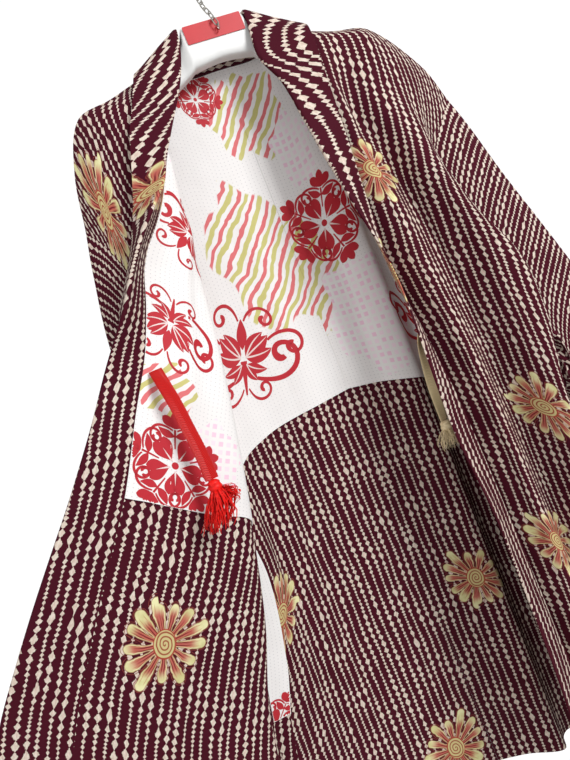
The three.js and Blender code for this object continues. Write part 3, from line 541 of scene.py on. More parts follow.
def daisy_layers(tree, colour):
    """Draws one flower on its own round place: long thin petals, stroked bases, an oval spiral heart."""
    x, y = uv_place(tree, "flower")
    wander = noise(vector(x, y), 2.6) - 0.5
    radius = maths("SQRT", x * x + y * y) + wander * 0.06
    turn = maths("ARCTAN2", y, x) / (2 * math.pi) + wander * 0.02
    place = turn * DAISY_PETALS
    number = maths("FLOOR", place)
    lean = (chance(number, 3.0) - 0.5) * 0.2
    angle = (maths("FRACT", place) - 0.5 - lean) * (2 * math.pi / DAISY_PETALS)
    aside = radius * maths("SINE", angle)
    reach = 0.74 + chance(number, 7.0) * 0.26
    ragged = drift(vector(x, y, 9.0), 0.05, 9.0, 1.0)
    wide = (0.09 + ragged + chance(number, 5.0) * 0.03) * (0.55 + ramp(radius, 0.28, 0.66) * 0.45)
    over = maths("MAXIMUM", radius - (reach - wide), 0.0)
    beyond = maths("SQRT", aside * aside + over * over) - wide
    petal = ramp(beyond, 0.008, -0.006) * ramp(radius, 0.2, 0.22)
    loose = 0.02 + chance(number, 11.0) * 0.035
    line = ramp(abs(beyond - loose), 0.011, 0.004) * ramp(radius, 0.3, 0.42)
    edge = ramp(abs(beyond), 0.014, 0.006) * ramp(radius, 0.24, 0.3)
    crease = ramp(abs(abs(aside) - wide * 0.45), 0.009, 0.003) * ramp(radius, reach - 0.1, reach - 0.2)
    core = ramp(abs(aside), wide * 0.84, wide * 0.62) * petal
    strokes = ramp(maths("SINE", aside * 120.0 + number * 2.2), 0.0, 0.35)
    root = strokes * ramp(radius + chance(number, 1.0) * 0.2, 0.78, 0.5) * core
    blush = ramp(radius - chance(number, 13.0) * 0.16, 0.66, 0.42) * core
    x_long, y_wide = x * 0.86, y * 1.12
    oval = maths("SQRT", x_long * x_long + y_wide * y_wide)
    heart = ramp(oval, 0.255, 0.24)
    spiral = ramp(maths("SINE", oval * 84.0 + wander * 6.0 + turn * (2 * math.pi)), 0.15, 0.55)
    rim = ramp(abs(oval - 0.25), 0.016, 0.006)
    shade = ramp(noise(vector(x, y, 4.0), 3.6, 3.0), 0.3, 0.7)
    for share, layer in (
        (petal, mixed(shade, (0.56, 0.52, 0.24), (0.74, 0.71, 0.4))),
        (blush * 0.85, (0.42, 0.022, 0.045)),
        (line * 0.75, (0.22, 0.045, 0.035)),
        (crease * petal * 0.75, (0.46, 0.2, 0.1)),
        (root * 0.85, (0.13, 0.006, 0.014)),
        (edge * 0.6, (0.24, 0.05, 0.035)),
        (heart, mixed(spiral * 0.85, (0.56, 0.47, 0.22), (0.27, 0.03, 0.02))),
        (rim * 0.85, (0.36, 0.04, 0.03)),
    ):
        colour = mixed(share, colour, layer)
    return colour


def outer_cloth():
    """Dark silk with pale woven beads that hang tip to tip in chains along the warp, and large daisies."""
    material, tree, shader = plain_material("maroon_beaded_silk", (0.06, 0.012, 0.025), 0.8, 0.08)
    u, v = uv_place(tree, "cloth")
    columns = (u + drift(vector(u * 0.004, v * 0.012), 6.0)) / BEAD_PITCH
    column = maths("FLOOR", columns)
    shift = (chance(column, 0.5) - 0.5) * 0.16
    aside = (maths("FRACT", columns) - 0.5 - shift) * BEAD_PITCH
    thread = (chance(maths("FLOOR", u / 0.6), 2.0) - 0.5) * 0.9
    # Beads lengthen and shorten along each column in a slow wave, and are as wide as they are long.
    swell = (v / (62.0 + chance(column, 4.0) * 40.0) + chance(column, 9.0)) * (2 * math.pi)
    skew = aside * ((chance(column, 8.0) - 0.3) * 0.4)
    along = (v + skew) / BEAD_LENGTH - maths("SINE", swell) * 0.95
    along = along + drift(vector(column * 3.7, v * 0.03), 1.6) + (thread / 8.0 + chance(column, 6.0) * 9.0)
    size = maths("COSINE", swell) * 0.5 + 0.5
    number = maths("FLOOR", along)
    half_wide = 1.75 + size * 1.75 + (chance(number, column) - 0.5) * 0.9
    down = abs(maths("FRACT", along) - 0.5)
    stray = (chance(number, column + 0.7) - 0.5) * 0.45
    mark = ramp(abs(aside + stray) / half_wide + down / 0.5, 1.05, 0.96)
    tone = noise(vector(u * 0.02, v * 0.02), 1.0, 3.0)
    ground = mixed(tone, (0.048, 0.0036, 0.0098), (0.064, 0.0056, 0.0145))
    worn = ramp(noise(vector(u * 0.5, v * 0.2)), 0.3, 0.7)
    cloth = mixed(mark * 0.95, ground, mixed(worn, (0.58, 0.46, 0.38), (0.73, 0.64, 0.55)))
    daisy_layers(tree, cloth).into(shader.inputs["Base Color"])
    slub = noise(vector(u * 0.25, v * 2.2))
    rumple = noise(vector(u * 0.05, v * 0.014))
    bumped(weave_height(u, v, 0.42) + slub * 0.8 + rumple * 16.0, 0.35, 0.0002, shader)
    return material


def lining_cloth():
    """Pale silk, printed with hand-drawn stripes, small squares and rows of dots."""
    material, tree, shader = plain_material("printed_lining_silk", (0.8, 0.76, 0.74), 0.7, 0.2)
    u, v = uv_place(tree, "cloth")
    base = mixed(noise(vector(u * 0.02, v * 0.02), 1.0, 3.0), (0.8, 0.775, 0.76), (0.88, 0.86, 0.85))
    areas = new_node(tree, "ShaderNodeAttribute", {}, attribute_name="print_areas")
    stripe_area, square_area, dot_area = split(tree, areas.outputs["Vector"])
    # Rows of tiny dots.
    du, dv = maths("FRACT", u / 5.2) - 0.5, maths("FRACT", v / 4.4) - 0.5
    dot = ramp(du * du + dv * dv, 0.022, 0.01)
    cloth = mixed(dot * 0.45 * ramp(dot_area, 0.48, 0.52), base, (0.4, 0.37, 0.4))
    # Hand-drawn slanting stripes of uneven width, over the seam at the back.
    x, y = uv_place(tree, "flower")
    wave = drift(vector(x * 0.02, y * 0.03), 22.0)
    rim = drift(vector(u * 0.1, v * 0.12), 0.1, 1.0, 1.0)
    stripe = maths("FRACT", (x + y * 0.82 + wave) / STRIPE_PERIOD) + rim
    salmon = ramp(stripe, 0.08, 0.1) * ramp(stripe, 0.34, 0.32)
    olive = ramp(stripe, 0.54, 0.56) * ramp(stripe, 0.84, 0.82)
    striped = mixed(olive, mixed(salmon, base, (0.7, 0.17, 0.18)), (0.58, 0.54, 0.2))
    cloth = mixed(ramp(stripe_area, 0.49, 0.51), cloth, striped)
    # Small squares.
    qu, qv = maths("FRACT", u / SQUARE), maths("FRACT", v / SQUARE)
    gap = maths("MINIMUM", maths("MINIMUM", qu, 1.0 - qu), maths("MINIMUM", qv, 1.0 - qv))
    checker = chance(maths("FLOOR", u / SQUARE), maths("FLOOR", v / SQUARE))
    filled = mixed(ramp(checker, 0.5, 0.52), (0.86, 0.6, 0.72), (0.88, 0.74, 0.8))
    squares = mixed(ramp(gap, 0.19, 0.25), base, filled)
    cloth = mixed(ramp(square_area, 0.49, 0.51), cloth, squares)
    cloth.into(shader.inputs["Base Color"])
    rumple = noise(vector(u * 0.045, v * 0.018))
    bumped(weave_height(u, v, 0.3) + rumple * 22.0, 0.3, 0.00015, shader)
    return material


def braid_material(name, colour, second):
    material, tree, shader = plain_material(name, colour, 0.38, 0.25)
    u, v = uv_place(tree, "cloth")
    rib = maths("SINE", (abs(u) * 0.9 + v) * 3.3)
    # Painted shade: the troughs of the ribs, low in the bump, take the darker second colour.
    mixed(ramp(rib, -0.9, 0.6), second, colour).into(shader.inputs["Base Color"])
    bumped(rib, 0.6, 0.0003, shader)
    return material


def thread_material(name, colour, second):
    material, tree, shader = plain_material(name, colour, 0.42, 0.2)
    tone = ramp(noise(object_place(tree), 420.0), 0.35, 0.65)
    mixed(tone, second, colour).into(shader.inputs["Base Color"])
    return material


def smooth_material(name, colour, roughness, metallic, speckle):
    material, tree, shader = plain_material(name, colour, roughness)
    place = object_place(tree)
    shader.inputs["Metallic"].default_value = metallic
    dark = [channel * 0.93 for channel in colour]
    mixed(ramp(noise(place, 60.0, 4.0), 0.3, 0.75), dark, colour).into(shader.inputs["Base Color"])
    grain = noise(place, speckle)
    (grain * 0.12 + (roughness - 0.06)).into(shader.inputs["Roughness"])
    bumped(grain, 0.08, 0.0002, shader)
    return material


def flower_map(cloth, quads, flowers):
    """For each face, its corners' places about the nearest flower, in that flower's own radius."""
    places = np.array(flowers, float)
    middle = cloth[quads].mean(axis=1)
    gap = np.linalg.norm(middle[:, None] - places[None, :, :2], axis=2) / places[None, :, 2]
    near = places[np.argmin(gap, axis=1)]
    offset = (cloth[quads] - near[:, None, :2]) / near[:, None, 2:3]
    turn = np.radians(near[:, 3])[:, None]
    c, s = np.cos(turn), np.sin(turn)
    x, y = offset[..., 0], offset[..., 1]
    return np.stack([x * c - y * s, (x * s + y * c) * np.sign(near[:, 2:3])], axis=-1)


def area_values(cloth, areas):
    """How far inside the printed areas, all wavy ellipses, each point lies: above a half is inside."""
    out = np.zeros((len(cloth), 3))
    for kind, u, v, half_wide, half_long, turn in areas:
        c, s = math.cos(math.radians(turn)), math.sin(math.radians(turn))
        du, dv = cloth[:, 0] - u, cloth[:, 1] - v
        x, y = (du * c + dv * s) / half_wide, (-du * s + dv * c) / half_long
        angle = np.arctan2(y, x)
        reach = np.hypot(x, y) * (1 + 0.11 * np.sin(5 * angle + u) + 0.06 * np.sin(9 * angle + v))
        out[:, kind] = np.maximum(out[:, kind], np.clip(1 - reach * 0.5, 0, 1))
    return out


def made_active(piece):
    bpy.ops.object.select_all(action="DESELECT")
    piece.select_set(True)
    bpy.context.view_layer.objects.active = piece


def new_piece(name, points, faces, *materials):
    """A mesh object from points in millimetres, alone selected."""
    mesh = bpy.data.meshes.new(name)
    mesh.from_pydata((np.asarray(points) * MM).tolist(), [], faces)
    for material in materials:
        mesh.materials.append(material)
    piece = bpy.data.objects.new(name, mesh)
    bpy.context.collection.objects.link(piece)
    made_active(piece)
    return piece


def edited(operation, **values):
    """One edit-mode operation on the whole of the active piece."""
    bpy.ops.object.mode_set(mode="EDIT")
    bpy.ops.mesh.select_all(action="SELECT")
    operation(**values)
    bpy.ops.object.mode_set(mode="OBJECT")


def cloth_piece(name, sheet, material, thickness, flowers, areas):
    """Makes one cut of cloth: a fine sheet with its thread places, given its thickness by Solidify."""
    points, quads, cloth = sheet
    piece = new_piece(name, points, quads.tolist(), material)
    mesh = piece.data
    for layer, places in (("cloth", cloth[quads]), ("flower", flower_map(cloth, quads, flowers))):
        mesh.uv_layers.new(name=layer).data.foreach_set("uv", places.astype(np.float32).ravel())
    if areas:
        values = mesh.attributes.new("print_areas", "FLOAT_VECTOR", "POINT")
        values.data.foreach_set("vector", area_values(cloth, areas).astype(np.float32).ravel())
    edited(bpy.ops.mesh.remove_doubles, threshold=0.00002)
    wall = piece.modifiers.new("cloth_thickness", "SOLIDIFY")
    wall.thickness = thickness * MM
    wall.offset = 0
    bpy.ops.object.modifier_apply(modifier=wall.name)
    bpy.ops.object.shade_smooth_by_angle(angle=math.radians(60))
    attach(piece, "root")
    return piece


def strip(points, widths):
    """A ribbon on the plane: five points across at each place of its centre line."""
    line = np.array(points, float)
    ahead = np.gradient(line, axis=0)
    ahead /= np.linalg.norm(ahead, axis=1)[:, None]
    across = np.stack([-ahead[:, 1], ahead[:, 0]], axis=1)
    half = np.interp(np.linspace(0, 1, len(line)), np.linspace(0, 1, len(widths)), widths)
    offset = half[:, None, None] * np.linspace(-1, 1, 5)[None, :, None]
    return line[:, None, :] + across[:, None, :] * offset


def bent(start, turn, length, bend, count=13):
    """A line that leaves start at an angle and turns evenly by bend on its way, both in degrees."""
    angles = np.radians(turn + bend * np.linspace(0, 1, count - 1))
    steps = np.stack([np.cos(angles), np.sin(angles)], axis=1) * length / (count - 1)
    return np.concatenate([[start], np.array(start) + np.cumsum(steps, axis=0)])


def scroll(start, turn, size, hand):
    """A stem that rolls up into a curl with a round end."""
    angles = np.radians(turn) + hand * np.linspace(0, 1, 34) ** 1.5 * 7.4
    step = size * np.linspace(0.15, 0.045, 34)
    ways = np.stack([np.cos(angles), np.sin(angles)], axis=1)
    path = np.array(start) + np.cumsum(ways * step[:, None], axis=0)
    return strip(path, np.array([0.6, 0.9, 1, 0.95, 0.9, 0.95, 1.5, 0.9]) * size * 0.08)


PETAL = np.array([0.1, 0.3, 0.5, 0.68, 0.84, 0.96, 1.04, 1.06, 1.0, 0.86, 0.58, 0.0])
LEAF = np.array([0.0, 0.36, 0.64, 0.85, 0.98, 1.0, 0.94, 0.82, 0.66, 0.47, 0.25, 0.0])


def small_flower(middle, size, turn):
    """Five bell petals, each of two lobes, with pale gaps between them, pale veins and a round heart."""
    red, pale = [], []
    heart = np.sqrt(np.clip(1 - np.linspace(-1, 1, 13) ** 2, 0, 1))
    red.append(strip(bent((middle[0] - size * 0.12, middle[1]), 0, size * 0.24, 0), heart * size * 0.12))
    for k in range(5):
        angle = turn + 72 * k
        way = np.array([math.cos(math.radians(angle)), math.sin(math.radians(angle))])
        start = np.array(middle) + way * size * 0.22
        for side in (-1, 1):
            red.append(strip(bent(start, angle + 14 * side, size * 0.78, 6 * side), PETAL * size * 0.2))
        vein = bent(start - way * size * 0.04, angle, size * 0.5, 0)
        pale.append(strip(vein, [size * 0.035, size * 0.02, 0.0]))
    return red, pale


def round_flower(size):
    """A large flower in a ring of trefoil buds, leaves and curls, all kept apart by the pale ground."""
    red, pale = small_flower((0, 0), size * 0.54, 12)
    for k in range(5):
        angle = 48 + 72 * k
        way = np.array([math.cos(math.radians(angle)), math.sin(math.radians(angle))])
        red.append(strip(bent(way * size * 0.3, angle, size * 0.34, 0), [size * 0.012, size * 0.02]))
        for side in (-1, 0, 1):
            lobe = bent(way * size * 0.66, angle + 44 * side, size * 0.3, 14 * side)
            red.append(strip(lobe, PETAL * size * 0.078))
        for side in (-1, 1):
            leaf = bent(way * size * 0.52, angle + 82 * side, size * 0.34, -30 * side)
            red.append(strip(leaf, LEAF * size * 0.07))
        red.append(scroll(way * size * 0.6, angle + 60, size * 0.3, 1))
        red.append(scroll(way * size * 0.6, angle - 60, size * 0.3, -1))
    return red, pale


def lotus_flower(size):
    """An upright bloom of pointed petals over a fan of leaves, with long curls at both sides."""
    red, pale = [strip(bent((0, size * 0.16), 90, size * 0.56, 0), LEAF * size * 0.12)], []
    for side in (-1, 1):
        for turn, length, bend, wide in ((60, 0.62, -16, 0.13), (30, 0.66, 24, 0.17), (-4, 0.62, 44, 0.15)):
            lean = turn if side > 0 else 180 - turn
            petal = bent((side * size * 0.06, size * 0.02), lean, size * length, bend * side)
            red.append(strip(petal, LEAF * size * wide))
            pale.append(strip(petal, [size * 0.016, size * 0.016, size * 0.012, 0.0]))
        for turn, length, bend in ((-34, 0.5, 40), (-66, 0.42, 30)):
            lean = turn if side > 0 else 180 - turn
            leaf = bent((side * size * 0.06, -size * 0.1), lean, size * length, bend * side)
            red.append(strip(leaf, LEAF * size * 0.1))
            pale.append(strip(leaf, [size * 0.012, size * 0.012, 0.0]))
        for out, high, turn, reach, hand in (
            (0.2, -0.36, -14, 0.7, 1), (0.5, 0.3, 50, 0.5, -1),
            (0.04, 0.62, 70, 0.4, -1), (0.04, -0.5, -60, 0.36, 1),
        ):
            lean = turn if side > 0 else 180 - turn
            red.append(scroll((side * size * out, size * high), lean, size * reach, hand * side))
    red.append(strip(bent((0, -size * 0.66), 90, size * 0.62, 0), [size * 0.02, size * 0.05, size * 0.08]))
    return red, pale


def laid_on(sheet, places):
    """Where places on the flat cloth lie in the round, with the way out of the lining's inner face."""
    points, quads, cloth = sheet
    u, v = cloth[quads][..., 0], cloth[quads][..., 1]
    order = np.lexsort((u, np.round(v, 3)), axis=1)
    rows = np.arange(len(quads))[:, None]
    corners, u, v = quads[rows, order], u[rows, order], v[rows, order]
    normals = normals_of(points, quads)
    spots, outward = np.full((len(places), 3), np.nan), np.zeros((len(places), 3))
    for k, (a, b) in enumerate(places):
        near = np.where((v[:, 0] <= b) & (v[:, 2] >= b))[0]
        s = (b - v[near, 0]) / (v[near, 2] - v[near, 0])
        left, right = (u[near, side] + (u[near, side + 2] - u[near, side]) * s for side in (0, 1))
        t = (a - left) / np.maximum(right - left, 1e-6)
        inside = np.where((t >= 0) & (t <= 1))[0]
        if len(inside):
            j = inside[0]
            weight = np.array([(1 - s[j]) * (1 - t[j]), (1 - s[j]) * t[j], s[j] * (1 - t[j]), s[j] * t[j]])
            spots[k] = weight @ points[corners[near[j]]]
            outward[k] = -(weight @ normals[corners[near[j]]])
    return spots, outward


def print_piece(name, sheet, flowers, ink, light):
    """Red flowers with pale veins, as thin shells that lie on the lining."""
    points, faces, slots = [], [], []
    count = 0
    for kind, u, v, size, turn in flowers:
        c, s = math.cos(math.radians(turn)), math.sin(math.radians(turn))
        for slot, ribbons in enumerate(lotus_flower(size) if kind else round_flower(size)):
            for ribbon in ribbons:
                x, y = ribbon.reshape(-1, 2).T
                spots, outward = laid_on(sheet, np.stack([u + x * c - y * s, v - x * s - y * c], axis=1))
                whole = ~np.isnan(spots[:, 0])
                grid = quads_of(numbers_of(ribbon), False)
                grid = grid[whole[grid].all(axis=1)]
                points.append(np.nan_to_num(spots) + outward * (LINING / 2 + INK_LIFT + VEIN_LIFT * slot))
                faces.append(grid + count)
                slots += [slot] * len(grid)
                count += len(spots)
    piece = new_piece(name, np.concatenate(points), np.concatenate(faces).tolist(), ink, light)
    piece.data.polygons.foreach_set("material_index", slots)
    edited(bpy.ops.mesh.delete_loose)
    bpy.ops.object.shade_smooth()
    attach(piece, "root")


def tube_piece(name, sections, material, smooth=60):
    """A loft through rings of points, closed at both ends."""
    index = numbers_of(np.array(sections))
    faces = quads_of(np.concatenate([index, index[:, :1]], axis=1), False).tolist()
    faces += [index[0].tolist(), index[-1][::-1].tolist()]
    piece = new_piece(name, np.concatenate(sections), faces, material)
    edited(bpy.ops.mesh.normals_make_consistent, inside=False)
    bpy.ops.object.shade_smooth_by_angle(angle=math.radians(smooth))
    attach(piece, "root")
    return piece


def braid_piece(name, table, width, material):
    """Flat braided cord: a rounded strip with a ribbed face, and its thread places in the cloth map."""
    rows = [[k, *row] for k, row in enumerate(table)]
    read = curve(rows, np.linspace(0, len(table) - 1, 90))
    centre, turn = read[:, :3], np.radians(read[:, 3])
    run = np.concatenate([[0], np.cumsum(np.linalg.norm(np.diff(centre, axis=0), axis=1))])
    around = np.linspace(0, 2 * np.pi, 24, endpoint=False)
    c, s = np.cos(around), np.sin(around)
    flat = np.sign(c) * np.abs(c) ** 0.55 * width / 2
    v = np.sign(s) * np.abs(s) ** 0.8 * BRAID_THICKNESS / 2 * (1 + 0.12 * np.cos(around * 6))
    sections = []
    for place, angle, gone in zip(centre, turn, run):
        u = flat * (1 + 0.03 * math.sin(gone * 2.1))
        x, y = u * math.cos(angle) - v * math.sin(angle), u * math.sin(angle) + v * math.cos(angle)
        sections.append(np.stack([place[0] + x, place[1] + y, np.full(24, place[2])], axis=1))
    piece = tube_piece(name, sections, material)
    layer = piece.data.uv_layers.new(name="cloth")
    for loop in piece.data.loops:
        ring, side = divmod(loop.vertex_index, 24)
        layer.data[loop.index].uv = (c[side] * width / 2, run[ring])
    return piece, (centre * MM).tolist(), float(run[-1] * MM)


def tassel_piece(name, place, counts, length, spread, lean, seed, thread, material, head):
    """A bound head, a skirt of thin loose threads and a tuft beside it, each thread a three-sided tube."""
    rng = np.random.default_rng(seed)
    place = np.array(place, float)
    bpy.ops.object.select_all(action="DESELECT")
    bpy.ops.mesh.primitive_uv_sphere_add(segments=20, ring_count=14, radius=1, location=(0, 0, 0))
    knot = bpy.context.active_object
    knot.name = name
    across, tall = head
    for vertex in knot.data.vertices:
        x, y, z = vertex.co
        pinch = 1 - 0.2 * math.exp(-(((z - 0.15) / 0.22) ** 2))
        pleat = 1 + 0.05 * math.cos(9 * math.atan2(y, x) + 3 * z)
        wide = across * pinch * pleat
        vertex.co = Vector(place + [x * wide, y * wide * 0.85, z * tall - tall]) * MM
    knot.data.materials.append(material)
    points, faces = [], []
    skirt_count, tuft_count = counts
    for number in range(skirt_count + tuft_count):
        angle = rng.uniform(0, 2 * np.pi)
        out = math.sqrt(rng.uniform(0.02, 1))
        direction = np.array([math.cos(angle), math.sin(angle) * 0.8, 0])
        start = place + direction * across * 0.72 * out + [0, 0, -tall * (1.35 + 0.4 * (1 - out))]
        reach = length * rng.uniform(0.72, 1.08)
        flare = spread * out * rng.uniform(0.6, 1.3)
        bend = rng.normal(0, 1, 2) * length * 0.035
        curl = rng.uniform(0, 2 * np.pi)
        if number >= skirt_count:
            direction = np.array([1.0, rng.uniform(-0.5, 0.3), 0])
            start = place + [across * 0.6, 0, -tall * rng.uniform(1.2, 2.4)]
            reach = length * rng.uniform(0.1, 0.5)
            flare = across * rng.uniform(1.4, 2.9)
        thick = thread * rng.uniform(0.75, 1.2)
        base = len(points)
        for t in np.arange(THREAD_RINGS) / (THREAD_RINGS - 1):
            side = direction * flare * math.sin(min(1.0, t * 1.25) * math.pi / 2)
            wiggle = np.array([math.cos(curl + 9 * t), math.sin(curl + 9 * t), 0]) * length * 0.045
            sag = np.array([(bend[0] + lean[0]) * t * t, (bend[1] + lean[1]) * t * t, -reach * t])
            centre = start + side + wiggle * math.sin(2.2 * t) + sag
            for turn in 2 * math.pi * np.arange(3) / 3 + curl:
                corner = np.array([math.cos(turn), math.sin(turn), 0])
                points.append(centre + corner * thick * (1 - 0.45 * t))
        rings = base + np.arange(THREAD_RINGS * 3).reshape(THREAD_RINGS, 3)
        walls = np.concatenate([rings, rings[:, :1]], axis=1)
        faces += quads_of(walls, False).tolist() + [rings[0][::-1].tolist(), rings[-1].tolist()]
    skirt = new_piece(name + "_threads", points, faces, material)
    made_active(knot)
    skirt.select_set(True)
    bpy.ops.object.join()
    edited(bpy.ops.mesh.normals_make_consistent, inside=False)
    bpy.ops.object.shade_smooth()
    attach(knot, "root")
    return knot


def hanger_piece(material):
    """Contoured hanger: a fuller section at each shoulder, a tall plate at the neck."""
    places = np.unique(np.concatenate([np.linspace(-192, 192, 120), [row[0] for row in HANGER]]))
    around = np.linspace(0, 2 * np.pi, 28, endpoint=False)
    c, s = np.cos(around), np.sin(around)
    sections = []
    for x, (top, bottom, front, back) in zip(places, curve(HANGER, places)):
        y = (front + back) / 2 + np.sign(c) * np.abs(c) ** 0.45 * (back - front) / 2
        z = (top + bottom) / 2 + np.sign(s) * np.abs(s) ** 0.4 * (top - bottom) / 2
        sections.append(np.stack([np.full(28, x), y, z], axis=1))
    return tube_piece("hanger_shell", sections, material, smooth=50)


def soft_light(name, place, target, size, power):
    data = bpy.data.lights.new(name, "AREA")
    data.shape = "SQUARE"
    data.size = size
    data.energy = power
    light = bpy.data.objects.new(name, data)
    bpy.context.collection.objects.link(light)
    light.location = place
    light.rotation_euler = (Vector(target) - Vector(place)).to_track_quat("-Z", "Y").to_euler()


# Camera at the photograph's place; the picture leans to the left of upright.
CAMERA_PLACE = Vector((-0.217, -0.695, -0.435))
yaw, pitch, roll = (math.radians(angle) for angle in (11.1, -4.0, -22.6))
ahead = Vector((math.sin(yaw) * math.cos(pitch), math.cos(yaw) * math.cos(pitch), math.sin(pitch)))
level_right = ahead.cross(Vector((0, 0, 1))).normalized()
level_up = level_right.cross(ahead)
right = math.cos(roll) * level_right + math.sin(roll) * level_up
up = -math.sin(roll) * level_right + math.cos(roll) * level_up
camera_data = bpy.data.cameras.new("photo_camera")
camera_data.sensor_width = 36
camera_data.lens = 590 / 760 * 36
camera_data.clip_start = 0.02
camera = bpy.data.objects.new("photo_camera", camera_data)
bpy.context.collection.objects.link(camera)
turn = Matrix((right, up, -ahead)).transposed()
camera.matrix_world = Matrix.Translation(CAMERA_PLACE) @ turn.to_4x4()
bpy.context.scene.camera = camera

# Each braid's second colour is a darker copy of its first, painted as shade in the rib troughs.
red_braid = braid_material("red_braid", (0.62, 0.008, 0.006), (0.34, 0.003, 0.003))
cream_braid = braid_material("cream_braid", (0.82, 0.68, 0.4), (0.56, 0.44, 0.24))
red_thread = thread_material("red_thread", (0.85, 0.014, 0.01), (0.62, 0.008, 0.006))
cream_thread = thread_material("cream_thread", (0.86, 0.72, 0.46), (0.66, 0.52, 0.3))
white_plastic = smooth_material("white_plastic", (0.74, 0.74, 0.73), 0.36, 0.0, 900.0)
red_plate = smooth_material("blank_red_plate", (0.5, 0.012, 0.018), 0.5, 0.0, 1400.0)
chain_metal = smooth_material("chain_metal", (0.42, 0.4, 0.36), 0.34, 1.0, 2500.0)
beaded = outer_cloth()
printed = lining_cloth()
red_ink = plain_material("red_print", (0.46, 0.008, 0.02), 0.7)[0]
pale_ink = plain_material("pale_print_veins", (0.76, 0.6, 0.58), 0.7)[0]

tassel_right = tassel_piece("red_tassel", (-208, -99, -540.2), (115, 45), 38, 12, (-12, 0), 5, 0.95,
                            red_thread, (7.5, 7))
tassel_left = tassel_piece("cream_tassel", (70, -46, -600.2), (84, 0), 22, 12, (-2, 0), 9, 0.62,
                           cream_thread, (8, 7))
for side, colour, table, width, material, tassel in (
    ("right", "red", TIE_RIGHT, 14, red_braid, tassel_right),
    ("left", "cream", TIE_LEFT, 13, cream_braid, tassel_left),
):
    tie, path, length = braid_piece(colour + "_tie", table, width, material)
    for piece, node in ((tie, "tie_"), (tassel, "tassel_")):
        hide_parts(node + side)
        colour + "_cord"
    width * MM

# Creases: fall and width where each starts, fall and width where it ends, half width, height.
CREASES_RIGHT = [
    [-60, 130, -420, 150, 9, -3.6], [-260, 110, -620, 128, 12, 4.2], [-520, 150, -940, 140, 14, -5.0],
    [-610, 215, -960, 225, 11, 4.2], [120, 60, 470, 74, 12, 2.2], [300, 130, 760, 150, 14, -2.8],
    [480, 40, 900, 58, 13, 2.4], [620, 200, 960, 215, 12, -2.4], [30, 150, 330, 120, 10, 1.8],
]
CREASES_LEFT = [
    [-40, 140, -300, 122, 9, -4.2], [-150, 190, -430, 205, 11, 4.2], [-380, 118, -820, 126, 11, -5.0],
    [-520, 240, -940, 232, 13, 4.8], [-60, 215, -240, 240, 8, -3.6], [140, 50, 520, 44, 12, 2.0],
    [330, 150, 760, 158, 13, -2.8], [560, 70, 930, 66, 13, 2.6], [40, 190, 260, 150, 10, 2.0],
]
# Daisies: width, fall, radius, turn.
DAISIES_RIGHT = [
    [240, -45, 50, 20], [165, -622, 52, 70], [217, 590, 54, 33], [48, 933, 54, 80],
    [120, 180, 52, 40], [205, 330, 52, 60], [150, -925, 52, 10],
]
DAISIES_LEFT = [
    [120, -199, 48, 30], [225, -520, 52, 12], [150, -716, 52, 50], [64, 716, 50, 76],
    [90, 110, 52, 22], [205, 320, 52, 5], [235, -900, 52, 48],
]
DAISIES_COLLAR = [[30, 839, 46, 20], [60, 1563, 48, 40], [30, 60, 50, 10], [30, 2120, 50, 60]]
DAISIES_SLEEVE = [[215, 300, 54, 33], [95, 150, 54, 5], [250, 90, 50, 66]]
DAISIES_GUSSET = [[30, 900, 54, 40]]
NO_DAISY = [[0, -5000, 1, 0]]
# The linings carry their whole print about the seam at the back. A radius below 0 mirrors it.
WHOLE_RIGHT, WHOLE_LEFT = [[0, 0, -1, 0]], [[0, 0, 1, 0]]
# Printed flowers: kind (0 round, 1 lotus), width, fall, size, turn.
PRINTS_RIGHT = [
    [0, 44, 24, 36, 10], [1, 133, -186, 40, 20], [1, 112, 334, 60, 22], [1, 122, -304, 44, 10],
    [0, 141, -446, 58, 0], [0, 190, 130, 46, 40], [0, 225, -300, 40, 30],
]
PRINTS_LEFT = [
    [0, 52, 215, 62, 24], [1, 165, 350, 54, 0], [0, 170, 90, 48, 10], [1, 150, -170, 44, 0],
    [0, 175, -380, 52, 20],
]
PRINTS_GUSSET = [[0, 16, GUSSET_LINING + 12, 50, 12], [0, 16, 420, 40, 40]]
# Printed areas: 0 stripes, 1 squares, 2 dots; then width, fall, half width, half length, turn.
DOTS = [[2, 120, 250, 400, 600, 0], [2, 170, -250, 400, 600, 0]]
AREAS_RIGHT = DOTS + [
    [0, 6, 62, 30, 46, 0], [0, 38, 232, 62, 92, 8], [0, 123, -372, 34, 26, 0], [0, 190, 250, 36, 60, 20],
    [1, 150, 60, 30, 44, 10], [1, 185, -430, 34, 40, 0], [1, 120, -95, 24, 40, 0],
]
AREAS_LEFT = DOTS + [
    [0, 22, 62, 34, 52, 10], [0, 12, 275, 34, 84, 0], [0, 190, 200, 44, 60, 20], [0, 170, -270, 40, 50, 0],
    [1, 50, 118, 26, 44, 0], [1, 66, 340, 56, 72, 0], [1, 190, -100, 34, 60, 0],
]
GUSSET_DOTS = [[2, 20, 480, 400, 900, 0]]

body_right = body_sheet(FRONT_RIGHT, BACK_RIGHT, -1, CREASES_RIGHT)
body_left = body_sheet(FRONT_LEFT, BACK_LEFT, 1, CREASES_LEFT)
inner_right = lining_sheet(body_right)
inner_left = lining_sheet(body_left)
inner_gusset = gusset_sheet(FRONT_RIGHT, BACK_RIGHT, -1, GUSSET_LINING, LINING_SHIFT)
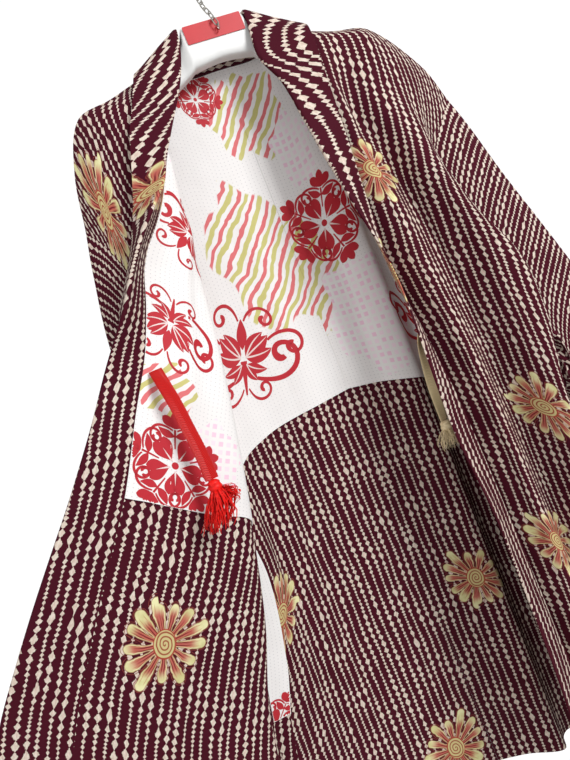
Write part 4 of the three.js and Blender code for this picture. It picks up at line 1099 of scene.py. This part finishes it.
# Node, piece, sheet, flowers, printed areas, cut in metres, flat area where the cut isn't a rectangle.
CLOTHS = (
    ("body_right", "jacket_body_right", body_right[:3], DAISIES_RIGHT, (), (0.30, 1.97), 0.507),
    ("body_left", "jacket_body_left", body_left[:3], DAISIES_LEFT, (), (0.30, 1.97), 0.507),
    ("collar", "collar_band", collar_sheet(), DAISIES_COLLAR, (), (0.114, 2.17), None),
    ("sleeve_right", "jacket_sleeve_right",
     sleeve_sheet(SLEEVE_RIGHT, FRONT_RIGHT, BACK_RIGHT, -1, (58, 8.0, 900)),
     DAISIES_SLEEVE, (), (0.64, 0.45), None),
    ("sleeve_left", "jacket_sleeve_left",
     sleeve_sheet(SLEEVE_LEFT, FRONT_LEFT, BACK_LEFT, 1, (52, 6.5, 1300)),
     DAISIES_SLEEVE, (), (0.64, 0.45), None),
    ("gusset_right", "side_gusset_right", gusset_sheet(FRONT_RIGHT, BACK_RIGHT, -1, HEM, 0),
     DAISIES_GUSSET, (), (0.06, 0.743), 0.0225),
    ("gusset_left", "side_gusset_left", gusset_sheet(FRONT_LEFT, BACK_LEFT, 1, HEM, 0),
     DAISIES_GUSSET, (), (0.06, 0.743), 0.0225),
    ("lining_right", "printed_lining_right", inner_right, WHOLE_RIGHT, AREAS_RIGHT, (0.28, 0.923), 0.227),
    ("lining_left", "printed_lining_left", inner_left, WHOLE_LEFT, AREAS_LEFT, (0.28, 0.923), 0.227),
    ("gusset_lining_right", "gusset_lining_piece_right", inner_gusset,
     NO_DAISY, GUSSET_DOTS, (0.038, 0.47), 0.009),
    ("gusset_lining_left", "gusset_lining_piece_left",
     gusset_sheet(FRONT_LEFT, BACK_LEFT, 1, GUSSET_LINING, LINING_SHIFT),
     NO_DAISY, GUSSET_DOTS, (0.038, 0.47), 0.009),
)
for node, name, sheet, flowers, areas, flat, area in CLOTHS:
    lined = "lining" in node
    material, thickness = (printed, LINING) if lined else (beaded, CLOTH)
    piece = cloth_piece(name, sheet, material, thickness, flowers, areas)
    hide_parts(node)
print_piece("red_flowers_right", inner_right, PRINTS_RIGHT, red_ink, pale_ink)
print_piece("red_flowers_left", inner_left, PRINTS_LEFT, red_ink, pale_ink)
print_piece("red_flowers_gusset", inner_gusset, PRINTS_GUSSET, red_ink, pale_ink)

hanger = hanger_piece(white_plastic)
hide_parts("hanger")
for node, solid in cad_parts.items():
    if node == "label" or node == "clasp" or node.startswith("chain"):
        solid.data.materials.clear()
        solid.data.materials.append(red_plate if node == "label" else chain_metal)

soft_light("key_light", (1.5, -2.2, 0.9), (0, 0, -0.5), 1.0, 76)
soft_light("fill_light", (-1.9, -1.9, 0.1), (-0.1, 0, -0.5), 2.2, 14)
# The surround is white behind the garment, as in the photo, and dimmer where it only lights it.
world = bpy.data.worlds.new("pale_surround")
world.use_nodes = True
background = world.node_tree.nodes["Background"]
background.inputs["Color"].default_value = (1, 1, 1, 1)
direction = new_node(world.node_tree, "ShaderNodeTexCoord", {}).outputs["Generated"]
side, depth, height = split(world.node_tree, direction)
behind = side * 0.19 + depth * 0.98 + height * -0.07
(ramp(behind, 0.55, 0.74) * 0.45 + 0.6).into(background.inputs["Strength"])
bpy.context.scene.world = world
bpy.context.scene.view_settings.view_transform = "Standard"
